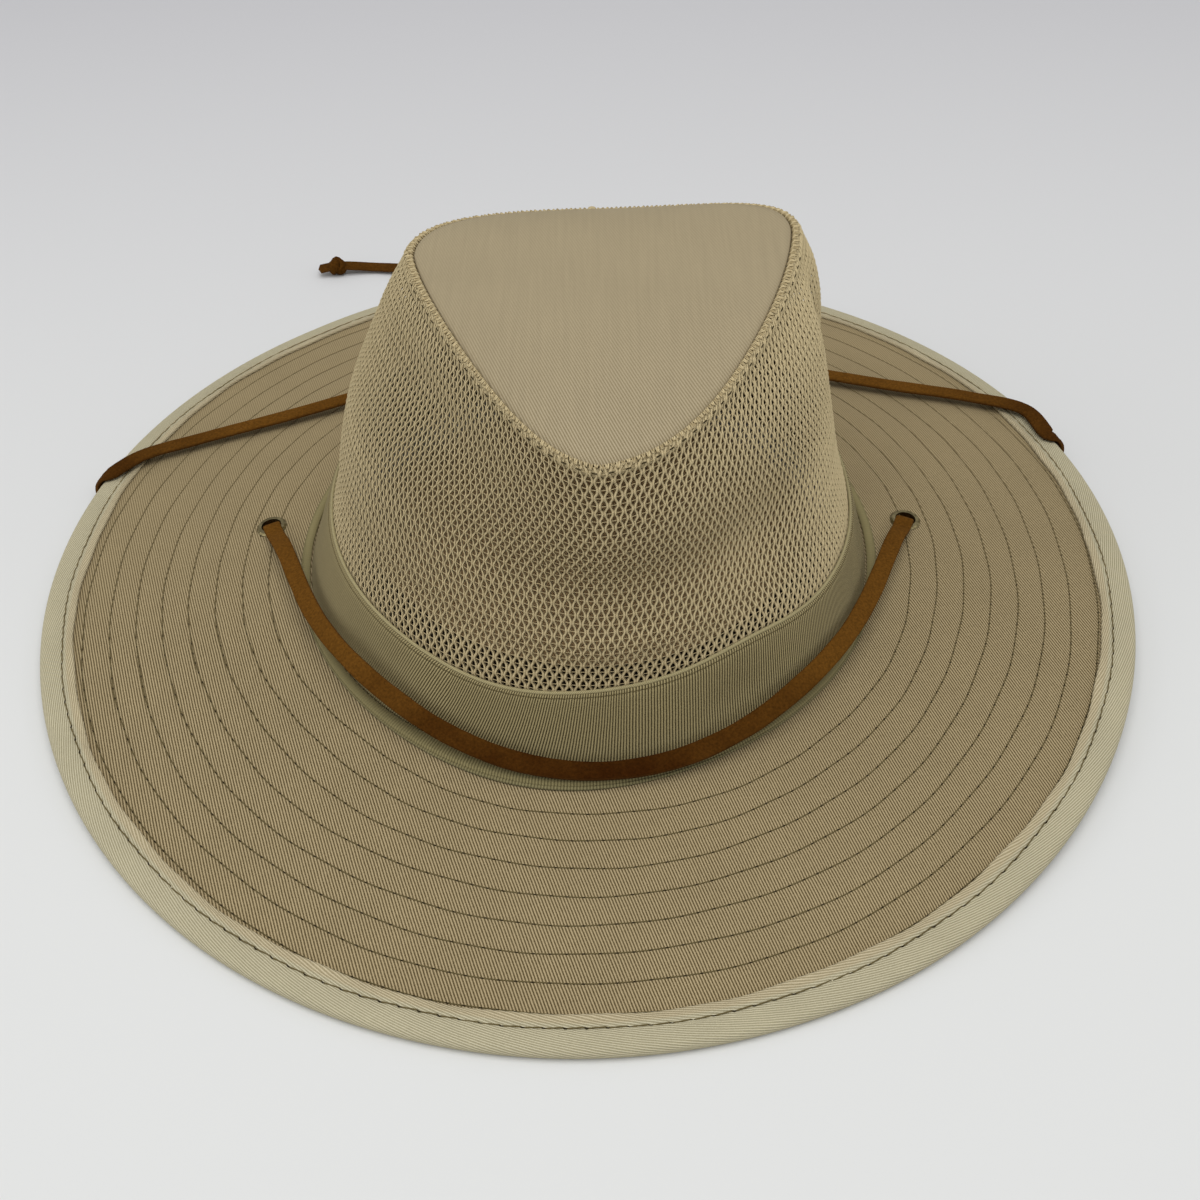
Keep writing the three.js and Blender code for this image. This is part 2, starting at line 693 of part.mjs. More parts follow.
// The middle of a free lace at one stop of its route
function stopPoint(stop) {
  const off = BRIM_WALL / 2 + LACE_WALL / 2;
  if ("over" in stop) return new THREE.Vector3(stop.x, stop.y, brimHeight(stop.x, stop.y) + off + stop.over);
  if ("under" in stop) return new THREE.Vector3(stop.x, stop.y, brimHeight(stop.x, stop.y) - off - stop.under);
  return new THREE.Vector3(stop.x, stop.y, stop.z);
}

// The middle line of a free lace, with the way its face turns
function freeLace(eyelet, route) {
  const start = throughEyelet(eyelet, route[0], -1);
  const points = [...start.points];
  const faces = [...start.faces];
  let face = DOWN;
  for (const stop of route) {
    if ("wrap" in stop) {
      const wrap = wrapPoints(stop);
      points.push(...wrap.points);
      faces.push(...wrap.faces);
      face = UP;
      continue;
    }
    const places = "slide" in stop ? slidePoints(stop) : [stopPoint(stop)];
    points.push(...places);
    faces.push(...places.map(() => face));
  }
  return { points, faces };
}

function knotGeometry(place, towards) {
  const ball = new THREE.SphereGeometry(0.5, 12, 8);
  ball.scale(KNOT.length, KNOT.width, KNOT.height);
  ball.rotateZ(Math.atan2(towards.y - place.y, towards.x - place.x));
  ball.translate(...place);
  return ball;
}

function freeLaceGeometry(eyelet, route) {
  const { points, faces } = freeLace(eyelet, route);
  const lace = toManifold(strip(points, faces, LACE_STEPS + 15));
  const knot = toManifold(knotGeometry(points.at(-2), points.at(-1)));
  return fromManifold(lace.add(knot));
}

// Slide behind the crown

const SLOT = { width: LACE_WIDTH + 2 * RING_GAP, height: 2 * LACE_WALL + 3 * RING_GAP };

// The slide sits on the highest cloth under its corners
function slideMiddle() {
  const w = SLOT.width / 2 + SLIDE.wall;
  const l = SLIDE.width / 2;
  const corners = [[-l, -w], [l, -w], [-l, w], [l, w]];
  const seat = Math.max(...corners.map(([x, y]) => brimHeight(SLIDE.x + x, SLIDE.y + y)));
  return seat + BRIM_WALL / 2 + GAP + SLIDE.wall + SLOT.height / 2;
}

function slideGeometry() {
  const w = SLOT.width / 2 + SLIDE.wall;
  const h = SLOT.height / 2 + SLIDE.wall;
  const outline = new THREE.Shape([[-w, -h], [w, -h], [w, h], [-w, h]].map((p) => new THREE.Vector2(...p)));
  const [a, b] = [SLOT.width / 2, SLOT.height / 2];
  outline.holes.push(new THREE.Path([[-a, -b], [-a, b], [a, b], [a, -b]].map((p) => new THREE.Vector2(...p))));
  const body = new THREE.ExtrudeGeometry(outline, { depth: SLIDE.width, bevelEnabled: false });
  body.translate(0, 0, -SLIDE.width / 2);
  // The extrusion runs along X, its outline standing in Y and Z
  body.applyMatrix4(new THREE.Matrix4().makeBasis(new THREE.Vector3(0, 1, 0), UP, new THREE.Vector3(1, 0, 0)));
  body.translate(SLIDE.x, SLIDE.y, slideMiddle());
  return fromManifold(toManifold(body));
}

// The hat

const twill = { roughness: 0.9, metalness: 0 };
const hat = new THREE.Group();

function add(name, geometry, color, finish = twill) {
  const mesh = new THREE.Mesh(geometry, new THREE.MeshStandardMaterial({ color, ...finish }));
  mesh.name = name;
  hat.add(mesh);
}

add("brim", brimGeometry(), 0x8c7f65);
add("brim_binding", bindingGeometry(), 0xa9a583);
add("hat_band", bandGeometry(), 0x7f7c5c);
add("band_lip", lipGeometry(), 0x8f8d70);
add("crown_mesh", netGeometry(), 0xa39674);
add("crown_top", panelGeometry(), 0xa0947a);
for (const eyelet of EYELETS) {
  add(eyelet.name, eyeletGeometry(eyelet), 0x6f6a4c, { roughness: 0.4, metalness: 0.9 });
}
const suede = { roughness: 1, metalness: 0 };
add("lace_front", frontLaceGeometry(), 0x5a3410, suede);
add("lace_left", freeLaceGeometry(EYELETS[0], LEFT_ROUTE), 0x5a3410, suede);
add("lace_right", freeLaceGeometry(EYELETS[1], RIGHT_ROUTE), 0x5a3410, suede);
add("lace_slide", slideGeometry(), 0x4a2c10, suede);

export default hat;
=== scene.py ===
"""The looks of a floppy hat: stitched twill brim, bound edge, net crown, twill top panel, hat band, brass
eyelets and a suede chin lace. Shapes are worked out in millimetres in the part's own frame."""
import math

import bpy
import numpy as np
from mathutils import Matrix


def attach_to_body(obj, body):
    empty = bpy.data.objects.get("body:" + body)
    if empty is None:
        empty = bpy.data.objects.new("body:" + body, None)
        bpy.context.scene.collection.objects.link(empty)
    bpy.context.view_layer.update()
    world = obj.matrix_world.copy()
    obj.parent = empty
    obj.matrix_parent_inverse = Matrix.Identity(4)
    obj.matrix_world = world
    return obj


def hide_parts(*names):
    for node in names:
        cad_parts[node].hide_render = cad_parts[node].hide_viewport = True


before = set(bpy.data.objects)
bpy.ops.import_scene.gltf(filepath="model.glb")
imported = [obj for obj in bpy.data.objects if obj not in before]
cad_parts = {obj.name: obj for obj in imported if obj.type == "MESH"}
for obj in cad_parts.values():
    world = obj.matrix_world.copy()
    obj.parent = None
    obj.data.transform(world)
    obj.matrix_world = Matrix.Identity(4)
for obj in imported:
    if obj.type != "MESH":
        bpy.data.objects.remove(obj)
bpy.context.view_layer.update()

MM = 0.001
TURN = 2 * math.pi
random = np.random.default_rng(11)

# Clearances and sizes of the solids, as the part has them
GAP = 0.3
RING_GAP = 0.5
BRIM_WIDTH, BRIM_LENGTH, BRIM_WALL, BRIM_FOOT_HEIGHT = 350, 364, 1.8, 10.5
SIDE_LIFT, RIGHT_LIFT, SIDE_SAG, BACK_SAG = 5, 1.3, 1.2, 1.0
BINDING_WIDTH, BINDING_WALL, BINDING_PRESS = 10.5, 0.8, 0.7
BINDING_HEIGHT = BRIM_WALL + 2 * (GAP + BINDING_WALL)
FOOT_WIDTH, FOOT_LENGTH, FOOT_SHIFT = 180, 196, 1
BAND_TOP_WIDTH, BAND_TOP_LENGTH, BAND_TOP_SHIFT = 164, 182, 2
BAND_HEIGHT, BAND_WALL, NET_EASE = 25.5, 1.4, 1
BAND_FOOT = BRIM_FOOT_HEIGHT + BRIM_WALL / 2 + GAP
BAND_TOP = BAND_FOOT + BAND_HEIGHT
LIP_WIDTH, LIP_WALL = 7, 1.3
NET_WALL, SEAM_ROLL, SEAM_SINK = 1.2, 4, (1.2, 3)
AXIS_X, AXIS_Y = 4.7, 30
CROWN_HEIGHT = 108
TOP_RIGHT, TOP_LEFT, TOP_FRONT, TOP_BACK = 59, 53.7, 109.6, 40
TIP_DROP, BACK_DROP, LEFT_DROP = 7.4, 14.5, 6.1
BOW_LEFT, BOW_RIGHT, BOW_BACK = 1.24, 1.42, 2
TIP_OVERSHOOT, TIP_BLUNTNESS = 1.056, 9.5
PANEL_WALL, PANEL_DIP = 1.2, 5
# BELLY_PEAK brings the belly's curve to 1 where it is widest
BELLY_RIGHT, BELLY_LEFT, BELLY_FRONT, BELLY_BACK, BELLY_LOW, BELLY_PEAK = 3.5, 2.5, 1.5, 3, 1.5, 9.48
LACE_WIDTH, LACE_WALL = 5.8, 1.6

# Soft folds of the net wall: bearing, spread, level, height, depth as a share of the crown's height
NET_FOLDS = [
    (-90, 22, 0.42, 0.2, 0.046),
    (-90, 16, 0.2, 0.1, -0.019),
    (-62, 10, 0.35, 0.2, 0.037),
    (-12, 7, 0.6, 0.45, 0.037),
    (-135, 24, 0.8, 0.16, 0.028),
    (-178, 35, 0.35, 0.3, -0.042),
]
# Waves of the band's top edge: bearing, spread, rise
BAND_WAVES = [(-103, 14, -0.11), (-69, 10, 0.12), (-32, 24, -0.14)]
# Soft dents in the band: bearing, spread, level, height, depth
BAND_DENTS = [(-71, 5, 0.35, 0.4, 0.06), (-128, 6, 0.4, 0.4, 0.04)]


# Arithmetic


def lerp(a, b, t):
    return a + (b - a) * t


def place(x, y, z):
    return np.stack(np.broadcast_arrays(x, y, z), -1).astype(float)


def bump(degrees, centre, spread):
    off = (degrees - centre + 180) % 360 - 180
    return np.exp(-((off / spread) ** 2))


def unit(v):
    return v / np.maximum(np.linalg.norm(v, axis=-1, keepdims=True), 1e-9)


def cornered(wave, power):
    """A wave from -1 to 1 that keeps its sign and is drawn toward its ends."""
    return np.sign(wave) * np.abs(wave) ** power


def full_turn(count):
    """Even angles round a full turn."""
    return TURN * np.arange(count) / count


def run_along(points):
    """The distance from the first point, along each line of points."""
    steps = np.linalg.norm(np.diff(points, axis=0), axis=-1)
    return np.concatenate([np.zeros((1, *steps.shape[1:])), np.cumsum(steps, axis=0)])


def outward(points, bearing, distance, rise=0.0):
    return points + place(np.cos(bearing) * distance, np.sin(bearing) * distance, rise)


def oval_at(bearing, width, length, shift):
    a, b, c, s = width / 2, length / 2, np.cos(bearing), np.sin(bearing)
    ox, oy = AXIS_X - shift, AXIS_Y
    square = (c / a) ** 2 + (s / b) ** 2
    linear = ox * c / a**2 + oy * s / b**2
    rest = (ox / a) ** 2 + (oy / b) ** 2 - 1
    reach = (-linear + np.sqrt(linear**2 - square * rest)) / square
    return place(AXIS_X + reach * c, AXIS_Y + reach * s, 0)


# The brim's middle surface


def brim_foot(angle):
    x = FOOT_SHIFT + FOOT_WIDTH / 2 * np.cos(angle)
    return place(x, FOOT_LENGTH / 2 * np.sin(angle), BRIM_FOOT_HEIGHT)


def brim_edge(angle):
    c = np.cos(angle)
    lift = SIDE_LIFT * np.abs(c) ** 3 + RIGHT_LIFT * c * np.abs(c)
    z = BINDING_HEIGHT / 2 - BINDING_PRESS + lift
    return place(BRIM_WIDTH / 2 * c, BRIM_LENGTH / 2 * np.sin(angle), z)


def brim_reach(angle):
    return np.linalg.norm((brim_edge(angle) - brim_foot(angle))[..., :2], axis=-1)


def brim_point(angle, share):
    angle, share = np.broadcast_arrays(angle, share)
    point = lerp(brim_foot(angle), brim_edge(angle), share[..., None])
    sag = (SIDE_SAG + BACK_SAG * np.sin(angle)) * 4 * share * (1 - share)
    point[..., 2] -= np.where(share > 0, sag, 0)
    point[..., 2] = np.maximum(point[..., 2], BINDING_HEIGHT / 2)
    return point


def brim_normal(angle, share):
    slope = brim_point(angle, np.asarray(share) + 0.01) - brim_point(angle, share)
    run = np.hypot(slope[..., 0], slope[..., 1])
    return unit(place(-slope[..., 2] * slope[..., 0] / run, -slope[..., 2] * slope[..., 1] / run, run))


def brim_at(angle, distance):
    return brim_point(angle, distance / brim_reach(angle))


def brim_height(x, y):
    share = 0.5
    for _ in range(30):
        width = lerp(FOOT_WIDTH, BRIM_WIDTH, share)
        length = lerp(FOOT_LENGTH, BRIM_LENGTH, share)
        angle = math.atan2(y / length, (x - FOOT_SHIFT * (1 - share)) / width)
        near = brim_point(angle, share)
        step = math.hypot(x, y) - math.hypot(near[0], near[1])
        share = min(max(share + step / float(brim_reach(angle)), 0), 1)
    return float(brim_point(angle, share)[2])


# The crown's surfaces


def band_oval(bearing, share):
    """The band's outline, share 0 at its foot and 1 at its top edge."""
    foot = oval_at(bearing, FOOT_WIDTH, FOOT_LENGTH, FOOT_SHIFT)
    top = oval_at(bearing, BAND_TOP_WIDTH, BAND_TOP_LENGTH, BAND_TOP_SHIFT)
    return lerp(foot, top, np.broadcast_to(share, bearing.shape)[..., None])


def band_point(bearing, level):
    degrees = np.degrees(bearing)
    wave = 1 + sum(rise * bump(degrees, centre, spread) for centre, spread, rise in BAND_WAVES)
    point = band_oval(bearing, level * wave)
    push = 0
    for centre, spread, middle, height, depth in BAND_DENTS:
        near = np.exp(-(((level - middle) / height) ** 2)) * np.sin(np.pi * np.clip(level, 0, 1))
        push = push - depth * BAND_HEIGHT * bump(degrees, centre, spread) * near
    point = outward(point, bearing, push)
    point[..., 2] = BAND_FOOT + BAND_HEIGHT * level * wave
    return point


def band_inside(bearing, z):
    degrees = np.degrees(bearing)
    level = (z - BAND_FOOT) / BAND_HEIGHT
    inset = BAND_WALL + NET_EASE
    for centre, spread, _, _, depth in BAND_DENTS:
        wide = bump(degrees, centre, 1.4 * spread)
        inset = inset + depth * BAND_HEIGHT * wide * np.sin(np.pi * np.clip(level, 0, 1))
    point = outward(band_oval(bearing, level), bearing, -inset)
    point[..., 2] = z
    return point


def seam_point(bearing):
    c, s = np.cos(bearing), np.sin(bearing)
    front = s < 0
    side = np.where(c > 0, TOP_RIGHT, TOP_LEFT)
    along = np.where(front, TOP_FRONT * TIP_OVERSHOOT, TOP_BACK)
    power = np.where(front, np.where(c > 0, BOW_RIGHT, BOW_LEFT), BOW_BACK)
    near = ((np.abs(c) / side) ** power + (np.abs(s) / along) ** power) ** (1 / power)
    tip = (near**TIP_BLUNTNESS + (np.abs(s) / TOP_FRONT) ** TIP_BLUNTNESS) ** (1 / TIP_BLUNTNESS)
    reach = 1 / np.where(front, tip, near)
    forward = np.maximum(-reach * s, 0) / TOP_FRONT
    back = np.maximum(reach * s, 0) / TOP_BACK
    left = np.maximum(-reach * c, 0) / TOP_LEFT
    z = CROWN_HEIGHT - TIP_DROP * forward**2 - BACK_DROP * back**2 - LEFT_DROP * left**2
    return place(AXIS_X + reach * c, AXIS_Y + reach * s, z)


def roll_point(bearing):
    sink = lerp(SEAM_SINK[0], SEAM_SINK[1], (1 + np.sin(bearing)) / 2)
    return outward(seam_point(bearing), bearing, SEAM_ROLL / 2 + GAP, -sink)


def net_push(bearing, level):
    c, s, degrees = np.cos(bearing), np.sin(bearing), np.degrees(bearing)
    side = np.where(c > 0, BELLY_RIGHT, BELLY_LEFT)
    along = np.where(s < 0, BELLY_FRONT, BELLY_BACK)
    belly = (side * c * c + along * s * s) * BELLY_PEAK * level**3 * (1 - level)
    push = belly + BELLY_LOW * 4 * level * (1 - level)
    ends = np.minimum(1, 6 * level) * np.minimum(1, 6 * (1 - level))
    for centre, spread, middle, height, depth in NET_FOLDS:
        near = np.exp(-(((level - middle) / height) ** 2)) * ends
        push = push - depth * CROWN_HEIGHT * near * bump(degrees, centre, spread)
    return push


def net_point(bearing, level):
    bearing, level = np.broadcast_arrays(bearing, level)
    start = band_inside(bearing, BAND_TOP)
    end = outward(roll_point(bearing), bearing, SEAM_ROLL / 2 - NET_WALL / 2)
    return outward(lerp(start, end, level[..., None]), bearing, net_push(bearing, level))


def panel_point(bearing, share):
    edge = seam_point(bearing)
    x = lerp(AXIS_X, edge[..., 0], share)
    y = lerp(AXIS_Y, edge[..., 1], share)
    return place(x, y, lerp(CROWN_HEIGHT - PANEL_DIP, edge[..., 2], share**2.5))


# Meshes


def add_mesh(name, points, faces, material, uv=None):
    """A mesh from points in millimetres and equally long faces, with a uv place for each face corner."""
    points, faces = np.asarray(points, float).reshape(-1, 3), np.asarray(faces, int)
    mesh = bpy.data.meshes.new(name)
    mesh.vertices.add(len(points))
    mesh.vertices.foreach_set("co", (points * MM).ravel())
    count, corners = faces.shape
    mesh.loops.add(count * corners)
    mesh.loops.foreach_set("vertex_index", faces.ravel())
    mesh.polygons.add(count)
    mesh.polygons.foreach_set("loop_start", np.arange(count) * corners)
    mesh.polygons.foreach_set("loop_total", np.full(count, corners))
    mesh.polygons.foreach_set("use_smooth", np.full(count, True))
    if uv is not None:
        layer = mesh.uv_layers.new(name="cloth")
        layer.data.foreach_set("uv", np.asarray(uv, float).ravel())
    mesh.update(calc_edges=True)
    mesh.validate()
    obj = bpy.data.objects.new(name, mesh)
    bpy.context.collection.objects.link(obj)
    mesh.materials.append(material)
    return obj


def grid_faces(rows, columns, wrap_rows, wrap_columns):
    """Faces of a grid of points, and the grid places of their corners before wrapping."""
    i, j = np.meshgrid(np.arange(rows if wrap_rows else rows - 1),
                       np.arange(columns if wrap_columns else columns - 1), indexing="ij")
    corner_i = np.stack([i, i + 1, i + 1, i], -1).reshape(-1, 4)
    corner_j = np.stack([j, j, j + 1, j + 1], -1).reshape(-1, 4)
    return (corner_i % rows) * columns + corner_j % columns, corner_i, corner_j


def add_grid(name, points, material, wrap_rows=True, wrap_columns=True, step=(1, 1), flip=False, holes=()):
    """A surface through a grid of points. A step is the uv size of one cell, or the uv of each line.
    Each hole is a middle, an axis and a radius."""
    rows, columns = points.shape[:2]
    faces, i, j = grid_faces(rows, columns, wrap_rows, wrap_columns)
    u = i * step[0] if np.isscalar(step[0]) else np.asarray(step[0])[i]
    v = j * step[1] if np.isscalar(step[1]) else np.asarray(step[1])[j]
    uv = np.stack([u, v], -1)
    for middle, axis, radius in holes:
        off = points.reshape(-1, 3)[faces].mean(1) - middle
        keep = np.linalg.norm(np.cross(off, axis), axis=1) > radius
        faces, uv = faces[keep], uv[keep]
    if flip:
        faces, uv = faces[:, ::-1], uv[:, ::-1]
    return add_mesh(name, points, faces, material, uv)


def tubes(paths, normals, width, height, sides=4, turn=0.0, keep=None):
    """Points and faces of many open tubes. A path is (tube, step, 3), and keep says which steps are built."""
    along = unit(np.gradient(paths, axis=1))
    side = unit(np.cross(along, normals))
    up = np.cross(side, along)
    a = TURN * (np.arange(sides) + turn) / sides
    width, height = np.asarray(width, float), np.asarray(height, float)
    ring = (side[:, :, None] * (width[..., None, None] / 2 * np.cos(a)[:, None])
            + up[:, :, None] * (height[..., None, None] / 2 * np.sin(a)[:, None]))
    points = paths[:, :, None] + ring
    count, steps = paths.shape[:2]
    faces, _, _ = grid_faces(steps, sides, False, True)
    faces = (faces[None] + (np.arange(count) * steps * sides)[:, None, None]).reshape(-1, 4)
    if keep is not None:
        faces = faces[np.repeat((keep[:, :-1] & keep[:, 1:]).ravel(), sides)]
    return points.reshape(-1, 3), faces[:, ::-1]


def attach(piece, node=None):
    """Fixes a piece to the hat and the solid whose looks it takes over, if any."""
    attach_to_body(piece, "root")
    if node:
        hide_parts(node)


def aim(obj, x, y, back, at):
    """Turns an object by its three axes and moves it to a place in metres."""
    obj.matrix_world = Matrix([[x[i], y[i], back[i], at[i]] for i in range(3)] + [[0, 0, 0, 1]])
    bpy.context.collection.objects.link(obj)


# Materials

RIB_WANDER, RIB_WANDER_SIZE = 0.2, 6.0
WORN_TONE = 0.52


def linear(r, g, b):
    """Scene colour of a display colour given from 0 to 255."""
    def channel(v):
        v = v / 255
        return v / 12.92 if v <= 0.04045 else ((v + 0.055) / 1.055) ** 2.4
    return (channel(r), channel(g), channel(b), 1)


class Shader:
    """A node material, with short calls for its nodes."""

    def __init__(self, name, roughness=0.9, metallic=0.0, **sockets):
        self.material = bpy.data.materials.new(name)
        self.material.use_nodes = True
        self.tree = self.material.node_tree
        self.surface = self.tree.nodes["Principled BSDF"]
        self.surface.inputs["Roughness"].default_value = roughness
        self.surface.inputs["Metallic"].default_value = metallic
        for socket, value in sockets.items():
            self.surface.inputs[socket.replace("_", " ")].default_value = value

    def node(self, kind, inputs=(), **settings):
        node = self.tree.nodes.new("ShaderNode" + kind)
        for key, value in settings.items():
            setattr(node, key, value)
        for key, value in dict(inputs).items():
            if isinstance(value, bpy.types.NodeSocket):
                self.tree.links.new(value, node.inputs[key])
            else:
                node.inputs[key].default_value = value
        return node

    def math(self, operation, a, b=0.0, c=0.0):
        return self.node("Math", {0: a, 1: b, 2: c}, operation=operation).outputs[0]

    def vary(self, value, noise, amount):
        """A value moved up and down with a noise by an amount."""
        return self.math("MULTIPLY_ADD", self.math("SUBTRACT", noise, 0.5), amount, value)

    def parts(self, vector):
        """The X, Y and Z of a place."""
        return self.node("SeparateXYZ", {0: vector}).outputs

    def place(self):
        """Surface place in millimetres, in the part's frame."""
        coord = self.node("TexCoord").outputs["Object"]
        scaled = self.node("VectorMath", {0: coord, "Scale": 1 / MM}, operation="SCALE")
        return scaled.outputs[0]

    def cloth(self):
        """Place on the cloth from its uv map, in millimetres."""
        return self.node("UVMap", uv_map="cloth").outputs[0]

    def noise(self, vector, size, detail=2.0, roughness=0.5):
        inputs = {"Vector": vector, "Scale": 1 / size, "Detail": detail, "Roughness": roughness}
        return self.node("TexNoise", inputs).outputs["Fac"]

    def remap(self, value, low, high, to_low=0.0, to_high=1.0):
        inputs = {0: value, 1: low, 2: high, 3: to_low, 4: to_high}
        return self.node("MapRange", inputs, clamp=True).outputs[0]

    def mix(self, factor, a, b, blend="MIX"):
        node = self.node("Mix", data_type="RGBA", blend_type=blend)
        for socket, value in ((node.inputs[0], factor), (node.inputs[6], a), (node.inputs[7], b)):
            if isinstance(value, bpy.types.NodeSocket):
                self.tree.links.new(value, socket)
            else:
                socket.default_value = value
        return node.outputs[2]

    def shade(self, colour, factor):
        """Colour times a number."""
        grey = self.node("CombineColor", {0: factor, 1: factor, 2: factor}).outputs[0]
        return self.mix(1.0, colour, grey, "MULTIPLY")

    def colour(self, socket):
        self.tree.links.new(socket, self.surface.inputs["Base Color"])

    def relief(self, *layers):
        """Bump layers, each a (height, depth in millimetres) pair."""
        normal = None
        for height, depth in layers:
            inputs = {"Height": height, "Distance": depth * MM, "Strength": 1.0}
            if normal is not None:
                inputs["Normal"] = normal
            normal = self.node("Bump", inputs).outputs[0]
        self.tree.links.new(normal, self.surface.inputs["Normal"])

    def leaning(self, vector, start, end, slope, end_slope):
        """Cloth places whose ribs lean by one slope before start and by another after end."""
        parts = self.parts(vector)
        lean = self.remap(parts["X"], start, end, slope, end_slope)
        across = self.math("MULTIPLY_ADD", parts["Y"], lean, parts["X"])
        return self.node("CombineXYZ", {0: across, 1: parts["Y"]}).outputs[0]

    def ribs(self, vector, direction, pitch):
        """Twill ribs that run along a direction in degrees: 0 in the gaps, 1 on the ribs."""
        across = math.radians(direction - 90)
        axis = (math.cos(across), math.sin(across), 0)
        s = self.node("VectorMath", {0: vector, 1: axis}, operation="DOT_PRODUCT").outputs["Value"]
        off = self.math("SUBTRACT", self.noise(vector, RIB_WANDER_SIZE), 0.5)
        wander = self.math("MULTIPLY", off, RIB_WANDER)
        phase = self.math("MULTIPLY", self.math("ADD", s, wander), TURN / pitch)
        wave = self.math("SINE", phase)
        return self.math("MULTIPLY_ADD", wave, 0.5, 0.5)


def twill(name, light, dark, direction, pitch, flat=True, mottle=0.08, depth=0.16, lean=None, fade=None,
          streaks=0.0, flap=None):
    """Cotton twill: lit ribs, dark gaps, yarn flecks and a soft patchy wash.
    lean bends the ribs along the cloth, and fade, an axis with two places and two shares, softens them.
    streaks is the depth of soft lengthwise streaks, and flap a width across the cloth and a tint for that
    strip (on the lip, partly painted light)."""
    shader = Shader(name, roughness=0.95, Sheen_Weight=0.03, Sheen_Roughness=0.5, Specular_IOR_Level=0.06)
    vector = shader.place() if flat else shader.cloth()
    rib = shader.ribs(shader.leaning(vector, *lean) if lean else vector, direction, pitch)
    flecks = shader.noise(vector, 0.35, 1.0)
    yarn = shader.vary(rib, flecks, 0.7)
    patches = shader.noise(vector, 22.0, 3.0)
    fine = shader.noise(vector, 2.4, 2.0)
    tone = shader.vary(shader.vary(1.0, patches, 2 * mottle), fine, mottle)
    if streaks:
        drawn = shader.node("VectorMath", {0: vector, 1: (1, 0.04, 0.04)}, operation="MULTIPLY").outputs[0]
        tone = shader.vary(tone, shader.noise(drawn, 1.1, 1.0), streaks)
    lit = shader.remap(yarn, 0.0, 0.85)
    if fade:
        axis, *shares = fade
        worn = shader.remap(shader.parts(shader.place())[axis], *shares)
        lit = shader.math("MULTIPLY_ADD", shader.math("SUBTRACT", WORN_TONE, lit), worn, lit)
    cloth = shader.mix(lit, dark, light)
    if flap:
        width, tint = flap
        inner = shader.remap(shader.parts(vector)["Y"], width, width - 0.6)
        cloth = shader.mix(inner, cloth, shader.mix(1.0, cloth, tint, "MULTIPLY"))
    shader.colour(shader.shade(cloth, tone))
    shader.relief((lit, depth), (fine, 0.08))
    return shader.material


def stitching(name, yarn, hole, worn=None):
    """Sewing thread, with painted shade where it dives into the cloth at every whole number of its uv.
    worn is a colour that it takes toward the back."""
    shader = Shader(name, roughness=0.8, Specular_IOR_Level=0.1)
    along = shader.parts(shader.cloth())["X"]
    # Painted shade at the needle holes, where the thread dives into the cloth.
    out = shader.remap(shader.math("PINGPONG", along, 0.5), 0.05, 0.16)
    colour = shader.mix(out, hole, yarn)
    if worn:
        y = shader.parts(shader.place())["Y"]
        colour = shader.mix(shader.remap(y, -60, 60, 0.0, 0.6), colour, worn)
    shader.colour(colour)
    shader.relief((shader.noise(shader.place(), 0.3, 1.0), 0.06))
    return shader.material


def suede(name, dark, edge, worn):
    """Brushed leather with a soft nap and a painted highlight along its cut edges.
    It is golden, and darker in front, near the brim's edge and at the knotted ends; the dark in front is
    partly its own colour and partly painted shade from the corner at the band's foot."""
    shader = Shader(name, roughness=0.95, Sheen_Weight=0.01, Sheen_Roughness=0.4, Specular_IOR_Level=0.02)
    vector = shader.place()
    nap = shader.noise(vector, 0.8, 4.0, 0.6)
    smear = shader.noise(vector, 14.0, 3.0)
    parts = shader.parts(vector)
    # Darker in front, near the brim's edge and at the knotted ends. The dark in front is partly the lace's
    # own colour and partly painted shade from the corner at the band's foot.
    dull = shader.remap(shader.math("ABSOLUTE", parts["X"]), 125, 168, 0.0, -0.7)
    tail = shader.remap(parts["Y"], 150, 185, 0.0, -0.5)
    wear_and_shade = shader.math("ADD", shader.remap(parts["Y"], -107, -62), shader.math("ADD", dull, tail))
    wear_and_shade = shader.vary(wear_and_shade, smear, 0.9)
    colour = shader.mix(shader.remap(wear_and_shade, 0.0, 1.0), dark, worn)
    # Painted highlight: a paler rim along both cut edges of the lace.
    across = shader.parts(shader.cloth())["Y"]
    rim = shader.remap(shader.math("ABSOLUTE", across), LACE_WIDTH / 2 - 0.25, LACE_WIDTH / 2)
    colour = shader.mix(shader.math("MULTIPLY", rim, 0.5), colour, edge)
    shader.colour(shader.shade(colour, shader.vary(1.0, nap, 1.5)))
    shader.relief((nap, 0.12), (smear, 0.25))
    return shader.material


# The camera stands above the front of the hat and looks down at it. Its place is in metres, and its sensor
# and lens are in millimetres

CAMERA_SENSOR, CAMERA_LENS = 36, 45
CAMERA_PLACE = (0.00446, -0.37318, 0.33466)
CAMERA_FORWARD = np.array([0, 0.7295, -0.6840])
CAMERA_RIGHT = np.array([0.9997, -0.0155, -0.0165])

camera_data = bpy.data.cameras.new("camera")
camera_data.sensor_width = CAMERA_SENSOR
camera_data.lens = CAMERA_LENS
camera = bpy.data.objects.new("camera", camera_data)
camera_up = unit(np.cross(CAMERA_RIGHT, CAMERA_FORWARD))
aim(camera, np.cross(CAMERA_FORWARD, camera_up), camera_up, -CAMERA_FORWARD, CAMERA_PLACE)
bpy.context.scene.camera = camera


# Laces. Their routes are the solids' routes, in millimetres

EYELET_BORE, EYELET_FLANGE, EYELET_PLATE = 3.4, 5.1, 0.6
EYELETS = {"eyelet_left": (173.5, 0.195), "eyelet_right": (4.2, 0.19)}
FRONT_FROM, FRONT_TO, LIP_CROSSING = -156, -22, 0.32
